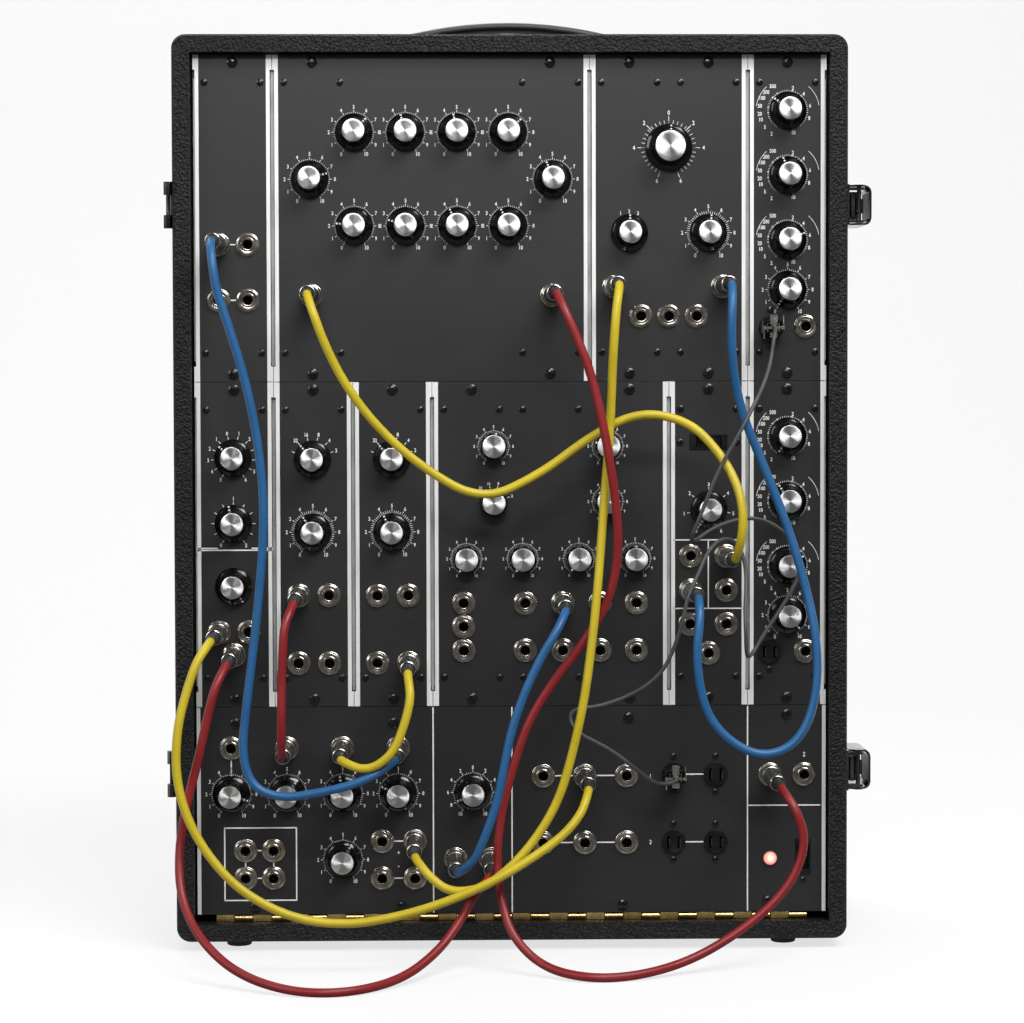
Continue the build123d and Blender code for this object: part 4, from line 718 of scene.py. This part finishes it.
# Rings of each kind, from the shaft's back to the disc's middle: radius, height, how deep the flutes
# are cut there, and what it is made of (0 black, 1 aluminium).
SHAFT = [(0.0, -11.7, 0, 0), (3.0, -11.7, 0, 0), (3.0, 0.85, 0, 0)]
KNOB_RINGS = {
    "skirted": [*SHAFT, (12.3, 0.85, 0, 0), (12.65, 1.1, 0, 0), (12.68, 2.1, 0, 0), (12.4, 2.5, 0, 0), (11.0, 3.2, 0, 0),
                (9.9, 4.1, 0, 0), (9.3, 5.2, 0, 0), (8.9, 6.4, 0.1, 0), (8.75, 8.0, 0.75, 0), (8.55, 14.6, 0.75, 0),
                (8.4, 16.0, 0.55, 0), (8.1, 16.7, 0.2, 0), (7.85, 16.95, 0, 0), (7.62, 16.9, 0, 0), (7.6, 17.1, 0, 1),
                (7.3, 17.18, 0, 1), (5.6, 17.18, 0, 1), (3.8, 17.18, 0, 1), (1.9, 17.18, 0, 1), (0.5, 17.18, 0, 1), (0.0, 17.15, 0, 1)],
    "large": [*SHAFT, (15.5, 0.85, 0, 0), (15.85, 1.1, 0, 0), (15.88, 2.2, 0, 0), (15.5, 2.6, 0, 0), (14.0, 3.2, 0, 0),
              (12.7, 4.2, 0, 0), (12.0, 5.4, 0, 0), (11.5, 6.8, 0.1, 0), (11.35, 8.4, 0.85, 0), (11.15, 15.2, 0.85, 0),
              (10.95, 16.6, 0.6, 0), (10.65, 17.4, 0.2, 0), (10.4, 17.75, 0, 0), (10.22, 17.7, 0, 0), (10.2, 17.9, 0, 1),
              (9.8, 17.98, 0, 1), (7.4, 17.98, 0, 1), (5.0, 17.98, 0, 1), (2.5, 17.98, 0, 1), (0.6, 17.98, 0, 1), (0.0, 17.95, 0, 1)],
    "plain": [*SHAFT, (9.3, 0.85, 0, 0), (9.75, 1.2, 0, 0), (9.8, 2.6, 0.3, 0), (9.75, 4.0, 0.8, 0), (9.2, 12.8, 0.8, 0),
              (9.0, 14.4, 0.55, 0), (8.6, 15.3, 0.2, 0), (8.1, 15.7, 0, 0), (7.78, 15.7, 0, 0), (7.75, 15.9, 0, 1),
              (7.4, 15.98, 0, 1), (5.6, 15.98, 0, 1), (3.8, 15.98, 0, 1), (1.9, 15.98, 0, 1), (0.5, 15.98, 0, 1), (0.0, 15.95, 0, 1)],
}
DOT_PLACES = {"skirted": ((9.55, 5.0), (11.7, 2.95)), "large": ((12.3, 5.1), (14.7, 3.0)), "plain": ((8.65, 15.3), (8.65, 15.3))}
STEPS = 97


def knob_piece(name, centre, pointer):
    """One knob about its axis: rings with the flutes cut by the fourth power of a cosine, then two dots
    as low domes on the skirt, in the pointer's direction."""
    kind = knob_kind(name)
    rings = np.array(KNOB_RINGS[kind])
    turns = np.linspace(0, 2 * np.pi, STEPS)
    radius = rings[:, :1] - rings[:, 2:3] * np.cos(4 * turns) ** 4
    start = np.radians(90 - pointer)
    x, z, h, wrap = turned_rings(radius / 1000, rings[:, 1:2] / 1000, [centre], [start])
    points = [np.stack([x, PANEL_FRONT - h, z], -1).reshape(-1, 3)]
    faces = [grid_faces(len(rings), STEPS)]
    kinds = [np.repeat(rings[1:, 3], STEPS - 1)]
    wraps = [wrap.reshape(-1, 2)]
    sector = np.radians(pointer)
    for out, ahead in DOT_PLACES[kind]:
        across = centre[0] + out / 1000 * np.sin(sector)
        up = centre[1] + out / 1000 * np.cos(sector)
        x, z, h, wrap = turned_rings(np.array([0.0, 0.45, 0.72, 0.75])[:, None] / 1000 + np.zeros(13),
                                     (ahead + np.array([0.25, 0.2, 0.0, -0.6])[:, None]) / 1000, [(across, up)])
        faces.append(grid_faces(4, 13) + sum(len(p) for p in points))
        points.append(np.stack([x, PANEL_FRONT - h, z], -1).reshape(-1, 3))
        kinds.append(np.full(36, 2))
        wraps.append(wrap.reshape(-1, 2))
    piece = add_piece(name + "_grip", np.concatenate(points), np.concatenate(faces), [knob_black, spun, white_dot],
                      np.concatenate(kinds), np.concatenate(wraps), name + "_knob", 30)
    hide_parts(name + "_knob")
    return piece


for name, centre in KNOB_AXES.items():
    knob_piece(name, centre, POINTERS[name])

# Patch plugs: a nickel collar against the nut, a darker knurled barrel that narrows, a bright ring
# at its end, and a short dark sleeve that the cord comes out of.
gunmetal, tree, shader, place = build_nodes("plug_barrel", (0.2, 0.19, 0.18), 0.34, 1.0)
split = add_node(tree, "SeparateXYZ", {0: add_node(tree, "UVMap", uv_map="wrap").outputs[0]})
around = add_node(tree, "Math", {0: split.outputs[0], 1: 2 * np.pi * 36}, operation="MULTIPLY")
along = add_node(tree, "Math", {0: split.outputs[1], 1: 2 * np.pi * 9.0}, operation="MULTIPLY")
right_hand = add_node(tree, "Math", {0: add_node(tree, "Math", {0: around.outputs[0], 1: along.outputs[0]}).outputs[0]}, operation="SINE")
left_hand = add_node(tree, "Math", {0: add_node(tree, "Math", {0: around.outputs[0], 1: along.outputs[0]}, operation="SUBTRACT").outputs[0]}, operation="SINE")
knurl = add_node(tree, "Math", {0: right_hand.outputs[0], 1: left_hand.outputs[0]}, operation="MINIMUM")
relief = add_node(tree, "Bump", {"Strength": 0.8, "Distance": 0.0003, "Height": knurl.outputs[0]})
tree.links.new(relief.outputs[0], shader.inputs["Normal"])
# Painted shade and highlight: the colour is darker in the knurl's grooves and lighter on its diamonds.
shade = add_node(tree, "MapRange", {0: knurl.outputs[0], 1: -1.0, 2: 0.6, 3: 0.0, 4: 1.0})
painted_relief_shading = add_node(tree, "Mix", {0: shade.outputs[0], 6: (0.1, 0.095, 0.09, 1), 7: (0.42, 0.4, 0.36, 1)}, data_type="RGBA")
tree.links.new(painted_relief_shading.outputs[2], shader.inputs["Base Color"])
plug_bright = handled_finish("plug_nickel", (0.4, 0.38, 0.34), (0.74, 0.71, 0.65), 0.16, 0.3, 150, metallic=1.0, bump=0.06, depth=0.0001)
sleeve_grey = handled_finish("plug_sleeve", (0.03, 0.03, 0.03), (0.07, 0.07, 0.07), 0.45, 0.65, 200, bump=0.2)
# Radius, height ahead of the panel, and finish (0 nickel, 1 knurled barrel, 2 sleeve)
PLUG_RINGS = [
    (0.0, -28.0, 0), (1.3, -27.6, 0), (2.9, -24.5, 0), (2.2, -22.6, 0), (2.9, -21.2, 0), (2.9, 3.3, 0),
    (6.7, 3.3, 0), (6.95, 3.6, 0), (6.95, 10.9, 0), (6.6, 11.6, 0), (6.2, 11.8, 0), (6.3, 12.2, 1),
    (6.25, 14.0, 1), (6.15, 18.0, 1), (6.05, 22.0, 1), (5.95, 26.0, 1), (5.85, 30.0, 1), (5.75, 34.0, 1),
    (5.6, 40.0, 1), (5.45, 45.0, 1), (5.4, 46.5, 1), (5.3, 46.6, 0), (5.3, 49.2, 0), (5.1, 49.8, 0),
    (4.75, 50.0, 0), (4.5, 49.8, 0), (4.45, 48.6, 2), (3.9, 48.6, 2), (3.85, 49.0, 2), (3.85, 51.8, 2),
    (3.55, 52.7, 2), (3.1, 53.0, 2), (2.9, 52.4, 2), (0.0, 52.0, 2),
]
PLUGGED = {end[0] for colour, a, route, b, length in CORDS.values() for end in (a, b)}
rings = np.array(PLUG_RINGS)
for name in sorted(PLUGGED):
    x, z, h, wrap = turned_rings(rings[:, :1] / 1000 + np.zeros(49), rings[:, 1:2] / 1000, [SOCKETS[name]])
    wrap = np.stack([wrap[..., 0], np.broadcast_to(rings[:, 1:2] / 10, wrap.shape[1:3])[None]], -1)
    kinds = np.repeat(rings[1:, 2], 48)
    piece = add_piece("plug_" + name, np.stack([x, PANEL_FRONT - h, z], -1), grid_faces(len(rings), 49),
                      [plug_bright, gunmetal, sleeve_grey], kinds, wrap, sharp=30)
    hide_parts("patch_plugs")


# Trigger plugs: two flat blades in a black moulding that is open at its back, with the grey lead
# soldered to a bright plate between its two posts.
def bevelled_box(low, high, edge):
    """A box between two corners, with every edge cut at 45 degrees: 24 corners, 26 faces."""
    low, high = np.array(low, float), np.array(high, float)
    signs = np.array([(x, y, z) for x in (0, 1) for y in (0, 1) for z in (0, 1)])
    inset = np.stack([np.where(np.arange(3) == axis, 0, edge) for axis in range(3)])
    points = (low + signs * (high - low))[:, None] + np.where(signs[:, None] == 1, -inset, inset)
    faces = []
    for axis in range(3):
        others = [a for a in range(3) if a != axis]
        for side in (0, 1):
            ring = [(0, 0), (1, 0), (1, 1), (0, 1)]
            corners = []
            for pair in ring:
                sign = [0, 0, 0]
                sign[axis] = side
                sign[others[0]], sign[others[1]] = pair
                corners.append((sign[0] * 4 + sign[1] * 2 + sign[2]) * 3 + axis)
            faces.append(corners)
        for pair in ((0, 0), (0, 1), (1, 0), (1, 1)):
            ends = []
            for side in (0, 1):
                sign = [0, 0, 0]
                sign[axis] = side
                sign[others[0]], sign[others[1]] = pair
                ends.append((sign[0] * 4 + sign[1] * 2 + sign[2]) * 3)
            a, b = others
            faces.append([ends[0] + a, ends[1] + a, ends[1] + b, ends[0] + b])
    for corner in range(8):
        faces.append([corner * 3, corner * 3 + 1, corner * 3 + 2])
    return points.reshape(-1, 3), faces


def boxes_piece(name, boxes, materials, body="cabinet", edge=0.0002, at=None, sharp=30):
    """Several bevelled boxes as one piece. Each is (low corner, high corner, finish), in metres, in the
    row frame or in millimetres right, up and ahead of a place on the panels."""
    points, faces, kinds = [], [], []
    for low, high, kind in boxes:
        if at is not None:
            (r0, u0, a0), (r1, u1, a1) = low, high
            low = (at[0] + r0 / 1000, PANEL_FRONT - a1 / 1000, at[1] + u0 / 1000)
            high = (at[0] + r1 / 1000, PANEL_FRONT - a0 / 1000, at[1] + u1 / 1000)
        corners, sides = bevelled_box(low, high, min(edge, 0.3 * min(h - l for l, h in zip(low, high))))
        offset = 24 * len(points)
        faces += [[corner + offset for corner in side] for side in sides]
        kinds += [kind] * len(sides)
        points.append(corners)
    return add_piece(name, np.concatenate(points), faces, materials, np.array(kinds), body=body, sharp=sharp)


for name in ("envelope_2_trigger", "trigger_2", "trigger_3", "trigger_4"):
    boxes_piece("contacts_" + name, contacts, [nickel], at=SOCKETS[name], edge=0.0001)
TRIGGER_PLUG = [
    ((-7, -4.5, 2.3), (7, 4.5, 8.0), 0), ((-7, -4.5, 8.0), (-5.2, 4.5, 21.8), 0), ((5.2, -4.5, 8.0), (7, 4.5, 21.8), 0),
    ((-5.2, 3.6, 8.0), (5.2, 4.5, 17.0), 0), ((-5.2, -4.5, 8.0), (5.2, -3.6, 17.0), 0),
    ((-4.3, -3.3, -8.0), (-2.9, 3.3, 2.4), 1), ((2.9, -3.3, -8.0), (4.3, 3.3, 2.4), 1),
    ((-4.4, -3.0, 8.0), (-3.4, 3.0, 20.0), 1), ((3.4, -3.0, 8.0), (4.4, 3.0, 20.0), 1),
    ((-0.6, -3.2, 8.0), (0.6, 3.2, 22.4), 1), ((-4.4, -1.1, 18.2), (4.4, 0.3, 19.4), 1),
    ((-1.9, -1.9, 21.0), (1.9, 1.9, 26.9), 2), ((-2.6, 1.9, 20.6), (2.6, 8.5, 21.6), 1), ((-2.4, -7.0, 20.6), (2.4, -3.4, 21.6), 1),
    ((-7.3, -1.6, 21.9), (-4.6, 0.6, 22.9), 1), ((4.6, -1.6, 21.9), (7.3, 0.6, 22.9), 1), ((-4.8, -0.9, 22.0), (4.8, -0.2, 22.6), 1),
    ((6.2, 0.4, 21.8), (6.9, 8.0, 22.6), 1), ((-6.9, -8.0, 21.8), (-6.2, -1.4, 22.6), 1),
]
for name in ("envelope_1_trigger", "trigger_1"):
    piece = boxes_piece("plug_" + name, TRIGGER_PLUG, [moulding, plug_bright, grey_jacket], at=SOCKETS[name], edge=0.0004)
    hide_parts("patch_plugs")
# The sleeves: soft grey boots over the first centimetre of each cord, which bend with it. Their rings
# follow points read from the cord's own spline, and they narrow towards the cord.
boot_grey = handled_finish("sleeve_grey", (0.018, 0.018, 0.018), (0.05, 0.05, 0.05), 0.4, 0.6, 200, bump=0.2)
for name, (colour, first, between, last, length) in CORDS.items():
    curve = cord_pieces[name][0].data.copy()
    curve.bevel_depth = 0
    holder = bpy.data.objects.new("line", curve)
    scene.collection.objects.link(holder)
    line = bpy.data.meshes.new_from_object(holder.evaluated_get(bpy.context.evaluated_depsgraph_get()))
    spots = np.empty(len(line.vertices) * 3)
    line.vertices.foreach_get("co", spots)
    bpy.data.objects.remove(holder)
    for end, spots in ((first[0], spots.reshape(-1, 3)), (last[0], spots.reshape(-1, 3)[::-1])):
        run = np.concatenate([[0], np.cumsum(np.linalg.norm(np.diff(spots, axis=0), axis=1))])
        at = np.linspace(0.0002, 0.0135, 12)
        middle = np.stack([np.interp(at, run, spots[:, i]) for i in range(3)], -1)
        ahead = np.gradient(middle, axis=0)
        ahead /= np.linalg.norm(ahead, axis=1, keepdims=True)
        aside = np.cross(ahead, (ahead[0] + ahead[-1]) @ np.array([[0, 0, 1], [0, 0, 0], [-1, 0, 0]]))
        aside /= np.linalg.norm(aside, axis=1, keepdims=True)
        upward = np.cross(ahead, aside)
        turn = np.linspace(0, 2 * np.pi, 25)
        wide = np.array([0.00375] * 2 + list(np.linspace(0.0037, 0.0033, 8)) + [0.00325, 0.0029])[:, None, None]
        ring = middle[:, None] + wide * (np.cos(turn)[None, :, None] * aside[:, None] + np.sin(turn)[None, :, None] * upward[:, None])
        add_piece("sleeve_" + end, ring, grid_faces(12, 25), [boot_grey], sharp=50)
for name, (colour, first, between, last, length) in CORDS.items():
    piece, start, length, diameter = cord_pieces[name]
piece, start, length, diameter = cord_pieces["trigger"]

# Slide switches: ribbed black buttons that run in the pockets of their frames. The mode switch runs
# across, the power switch up and down.
for node, along in (("mode_slider", 0), ("power_slider", 2)):
    low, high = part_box(node)
    boxes = [((low.x, low.y + 0.0017, low.z), tuple(high), 0)]
    for share in np.linspace(0.12, 0.88, 5):
        a, b = list(low), list(high)
        middle = low[along] + share * (high[along] - low[along])
        a[along], b[along] = middle - 0.0005, middle + 0.0005
        across = 2 - along
        a[across], b[across] = low[across] + 0.0006, high[across] - 0.0006
        b[1] = low.y + 0.002
        boxes.append((a, b, 0))
    button = boxes_piece(node + "_button", boxes, [moulding], body=node, edge=0.00025)
    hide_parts(node)

# The pilot lamp: a jewelled lens in a nickel bezel, lit: nearly white in the middle and warm pink
# towards its rim.
material, tree, shader, place = build_nodes("lamp_lens", (0.9, 0.35, 0.2), 0.2)
split = add_node(tree, "SeparateXYZ", {0: add_node(tree, "UVMap", uv_map="wrap").outputs[0]})
rim = add_node(tree, "MapRange", {0: split.outputs[1], 1: 0.1, 2: 0.42, 3: 0.0, 4: 1.0})
glow = add_node(tree, "Mix", {0: rim.outputs[0], 6: (1.0, 0.7, 0.56, 1), 7: (0.85, 0.24, 0.18, 1)}, data_type="RGBA")
tree.links.new(glow.outputs[2], shader.inputs["Emission Color"])
tree.links.new(glow.outputs[2], shader.inputs["Base Color"])
shader.inputs["Emission Strength"].default_value = 0.8
LAMP_RINGS = [(0, -9.0, 0), (3.9, -9.0, 0), (3.9, 0.0, 0), (5.0, 0.0, 0), (5.1, 0.3, 0), (5.1, 1.2, 0), (4.9, 1.55, 0),
              (4.5, 1.6, 0), (4.4, 1.5, 1), (4.2, 2.2, 1), (3.5, 2.9, 1), (2.5, 3.35, 1), (1.3, 3.55, 1), (0, 3.6, 1)]
rings = np.array(LAMP_RINGS, float)
facets = 1 - 0.03 * np.cos(12 * np.linspace(0, 2 * np.pi, 49)) * rings[:, 2:3] * (rings[:, :1] > 2)
x, z, h, wrap = turned_rings(rings[:, :1] * facets / 1000, rings[:, 1:2] / 1000, [on_panel("console", 177.4, 37.2)])
lamp = add_piece("lamp_jewel", np.stack([x, PANEL_FRONT - h, z], -1), grid_faces(len(rings), 49), [nickel, material],
                 np.repeat(rings[1:, 2], 48), wrap, sharp=50)
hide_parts("pilot_lamp")

# The piano hinge under the console: thirty-two brass knuckles on one pin, every second one with its
# leaf folded up in front of it, the others with theirs lying on the case's floor.
brass = handled_finish("hinge_brass", (0.5, 0.34, 0.11), (0.85, 0.62, 0.26), 0.22, 0.4, 120, metallic=1.0, bump=0.1)
hinge_low, hinge_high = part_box("piano_hinge")
PITCH = (hinge_high.x - hinge_low.x) / 32
axis_y, axis_z = PANEL_FRONT + 0.0024, PANEL_FOOT - 0.0025
# Barrels about the hinge's axis: each ring is a radius and a share of the knuckle's length.
barrel = np.array([(0, 0.01), (2.05, 0.01), (2.25, 0.03), (2.25, 0.97), (2.05, 0.99), (0, 0.99)])
turn = np.linspace(0, 2 * np.pi, 21)
start = hinge_low.x + PITCH * np.arange(32)[:, None, None]
x = start + barrel[:, 1][None, :, None] * PITCH + 0 * turn
y = axis_y + barrel[:, 0][None, :, None] / 1000 * np.cos(turn) + 0 * start
z = axis_z + barrel[:, 0][None, :, None] / 1000 * np.sin(turn) + 0 * start
knuckles = add_piece("hinge_knuckles", np.stack([x, y, z], -1), grid_faces(6, 21, 32), [brass])
boxes = [((hinge_low.x, axis_y, hinge_low.z), (hinge_high.x, hinge_high.y, hinge_low.z + 0.001), 0),
         ((hinge_low.x, PANEL_FRONT + 0.0032, axis_z), (hinge_high.x, PANEL_FRONT + 0.0042, hinge_high.z), 0)]
for i in range(0, 32, 2):
    x0 = hinge_low.x + i * PITCH
    boxes.append(((x0 + 0.00025, PANEL_FRONT + 0.00005, hinge_low.z + 0.0003), (x0 + PITCH - 0.00025, PANEL_FRONT + 0.0009, PANEL_FOOT - 0.0001), 0))
leaves = boxes_piece("hinge_leaves", boxes, [brass])
for piece in (knuckles, leaves):
    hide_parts("piano_hinge")

# The carrying handle: a strap of the same black vinyl round a soft core, bowed between two caps. Its
# middle line is an arc, and its section is a flat oval with tight sides.
shell_low, shell_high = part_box("cabinet_shell")
strap_low, strap_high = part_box("carry_handle")
half, thick, width = (strap_high.x - strap_low.x) / 2, 0.006, strap_high.y - strap_low.y
ends_up = strap_low.z + thick / 2
rise = strap_high.z - thick / 2 - ends_up
bow = (half**2 + rise**2) / (2 * rise)
lean = np.linspace(-1, 1, 61)[:, None] * np.arcsin(half / bow)
turn = np.linspace(0, 2 * np.pi, 41)[None]
across = width / 2 * np.sign(np.cos(turn)) * np.abs(np.cos(turn)) ** 0.45
depth = thick / 2 * np.sign(np.sin(turn)) * np.abs(np.sin(turn)) ** 0.8
end = 1 - 0.25 * np.clip((np.abs(lean) / lean.max() - 0.93) / 0.07, 0, 1) ** 2
reach = bow + depth * end - 0.00001
x = PANEL_MIDDLE + reach * np.sin(lean)
y = (strap_low.y + strap_high.y) / 2 + across * end
z = ends_up + rise - bow + reach * np.cos(lean)
points = np.stack([x, y, z], -1)
caps = [np.repeat(points[[i]].mean(1, keepdims=True), 41, 1) for i in (0, -1)]
strap_vinyl = handled_finish("strap_vinyl", (0.02, 0.02, 0.021), (0.045, 0.045, 0.047), 0.38, 0.55, 120, bump=0.35, depth=0.0003)
strap = add_piece("handle_strap", np.concatenate([caps[0], points, caps[1]]), grid_faces(63, 41), [strap_vinyl], sharp=60)
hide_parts("carry_handle")

# Bright fittings: the handle's end caps, two lift-off lid hinges on the left and two draw latches on
# the right, pressed from nickel-plated steel with rounded edges. Each keeps its imported solid's form.
# Painted reflection: this nickel is coloured far darker than the plating is, for the dim room that it mirrors.
nickel_painted_dark = handled_finish("fitting_nickel", (0.07, 0.067, 0.063), (0.26, 0.25, 0.235), 0.1, 0.22, 70, metallic=1.0, bump=0.05)


def softened(name, node, width, material, body, segments=3):
    """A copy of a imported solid, its loose triangles merged and its flat faces joined, with a rounded
    edge of the given width."""
    mesh = frame["nodes"][node].data.copy()
    mesh.name = name
    mesh.materials.clear()
    work = bmesh.new()
    work.from_mesh(mesh)
    bmesh.ops.remove_doubles(work, verts=work.verts, dist=1e-6)
    bmesh.ops.dissolve_limit(work, angle_limit=np.radians(1), verts=work.verts, edges=work.edges)
    work.to_mesh(mesh)
    work.free()
    mesh.shade_smooth()
    mesh.set_sharp_from_angle(angle=np.radians(40))
    mesh.materials.append(material)
    piece = bpy.data.objects.new(name, mesh)
    scene.collection.objects.link(piece)
    edge = piece.modifiers.new("edge", "BEVEL")
    edge.width, edge.segments, edge.limit_method, edge.angle_limit = width, segments, "ANGLE", np.radians(25)
    edge.use_clamp_overlap, edge.harden_normals = True, False
    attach(piece, body)
    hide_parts(node)
    return piece


softened("case_fittings", "metal_fittings", 0.0005, nickel_painted_dark, "cabinet")
for level in ("upper", "lower"):
    softened(level + "_latch", level + "_latch_lever", 0.0004, nickel_painted_dark, level + "_latch_lever")
# Inside each latch, fixed to its plate: the catch, a cross bar and two spring blades.
for name, level in (("upper_catch", "upper_latch_lever"), ("lower_catch", "lower_latch_lever")):
    low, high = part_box(level)
    side, front, middle = low.x - 0.0024, low.y + 0.001, (low.z + high.z) / 2
    boxes = [((side + a / 1000, front + b / 1000, middle + c / 1000), (side + d / 1000, front + e / 1000, middle + f / 1000), 0)
             for a, b, c, d, e, f in ((1.4, 24, -10.5, 13.5, 25.4, 10.5), (3.5, 6, -8.5, 6.5, 24.5, -6), (3.5, 6, 6, 6.5, 24.5, 8.5),
                                      (3.5, 5, -8.5, 7, 7, 8.5), (7.5, 14, -5, 13.5, 15.4, 5), (7.5, 15, -5, 9, 24.5, 5))]
    boxes_piece(name, boxes, [nickel_painted_dark], edge=0.0006)

# The table and the wall behind it: one white sweep under a large soft light from above and in front.
sweep_x = np.array([-6.0, 6.0])
angle = np.linspace(0, np.pi / 2, 13)
line = np.concatenate([[[-6.0, 0.0]], np.stack([1.4 + 0.8 * np.sin(angle), 0.8 - 0.8 * np.cos(angle)], 1), [[2.2, 5.0]]])
points = np.stack([np.broadcast_to(sweep_x, (len(line), 2)), *[np.broadcast_to(line[:, i : i + 1], (len(line), 2)) for i in (0, 1)]], 2)
floor = add_piece("backdrop", points, grid_faces(len(line), 2), body="", sharp=60)
white, tree, shader, place = build_nodes("backdrop_paper", (0.9, 0.9, 0.9), 0.9)
speck = add_node(tree, "TexNoise", {"Vector": place, "Scale": 3.0})
tree.links.new(add_node(tree, "MapRange", {0: speck.outputs["Fac"], 3: 0.88, 4: 0.92}).outputs[0], shader.inputs["Roughness"])
ray = add_node(tree, "LightPath")
mirrored = add_node(tree, "Math", {0: ray.outputs["Is Glossy Ray"], 1: ray.outputs["Is Transmission Ray"]}, operation="MAXIMUM")
seen = add_node(tree, "Math", {0: ray.outputs["Is Camera Ray"], 1: mirrored.outputs[0]}, operation="MAXIMUM")
share = add_node(tree, "Math", {0: seen.outputs[0], 1: 0.72}, operation="MULTIPLY")
bright = add_node(tree, "Emission", {"Color": (1, 1, 1, 1), "Strength": 1.0})
paper = add_node(tree, "MixShader", {0: share.outputs[0], 1: shader.outputs[0], 2: bright.outputs[0]})
depth = add_node(tree, "SeparateXYZ", {0: place})
nearer = add_node(tree, "MapRange", {0: depth.outputs[1], 1: 0.1, 2: -0.3, 3: 0.0, 4: 0.9})
unseen = add_node(tree, "Math", {0: 1.0, 1: ray.outputs["Is Camera Ray"]}, operation="SUBTRACT")
dim = add_node(tree, "Math", {0: nearer.outputs[0], 1: unseen.outputs[0]}, operation="MULTIPLY")
room_floor = add_node(tree, "Emission", {"Color": (1, 1, 1, 1), "Strength": 0.06})
ground = add_node(tree, "MixShader", {0: dim.outputs[0], 1: paper.outputs[0], 2: room_floor.outputs[0]})
tree.links.new(ground.outputs[0], tree.nodes["Material Output"].inputs["Surface"])
floor.data.materials.append(white)


def area_light(name, at, towards, width, height, power):
    """A soft rectangular lamp that faces a point."""
    lamp = bpy.data.lights.new(name, "AREA")
    lamp.shape = "RECTANGLE"
    lamp.size, lamp.size_y, lamp.energy = width, height, power
    light = bpy.data.objects.new(name, lamp)
    light.location = at
    light.rotation_euler = (Vector(towards) - Vector(at)).to_track_quat("-Z", "Y").to_euler()
    scene.collection.objects.link(light)
    return light


area_light("top_light", (0.75, -1.35, 2.0), (0, 0, 0.4), 1.5, 0.9, 50)
area_light("front_light", (-0.15, -2.3, 1.45), (0, 0, 0.5), 0.9, 0.35, 17)
area_light("left_light", (-2.3, -1.7, 1.5), (0, 0, 0.35), 0.8, 1.6, 20)
area_light("back_light", (-0.6, 1.4, 2.4), (0, 0, 0.4), 1.6, 0.8, 30)
# The room is white where the view looks, and dim behind the camera, for what shines to reflect.
world = bpy.data.worlds.new("studio")
scene.world = world
world.use_nodes = True
tree = world.node_tree
background = tree.nodes["Background"]
background.inputs["Color"].default_value = (1, 1, 1, 1)
ray = add_node(tree, "LightPath")
way = add_node(tree, "SeparateXYZ", {0: tree.nodes.new("ShaderNodeTexCoord").outputs["Generated"]})
room = add_node(tree, "MapRange", {0: way.outputs[1], 1: -0.1, 2: 0.4, 3: 0.07, 4: 1.0})
shiny = add_node(tree, "Math", {0: ray.outputs["Is Glossy Ray"], 1: ray.outputs["Is Transmission Ray"]}, operation="MAXIMUM")
reflected = add_node(tree, "Math", {0: shiny.outputs[0], 1: room.outputs[0]}, operation="MULTIPLY")
seen = add_node(tree, "Math", {0: ray.outputs["Is Camera Ray"], 1: reflected.outputs[0]}, operation="MAXIMUM")
level = add_node(tree, "Math", {0: seen.outputs[0], 1: 0.12}, operation="MAXIMUM")
tree.links.new(level.outputs[0], background.inputs["Strength"])
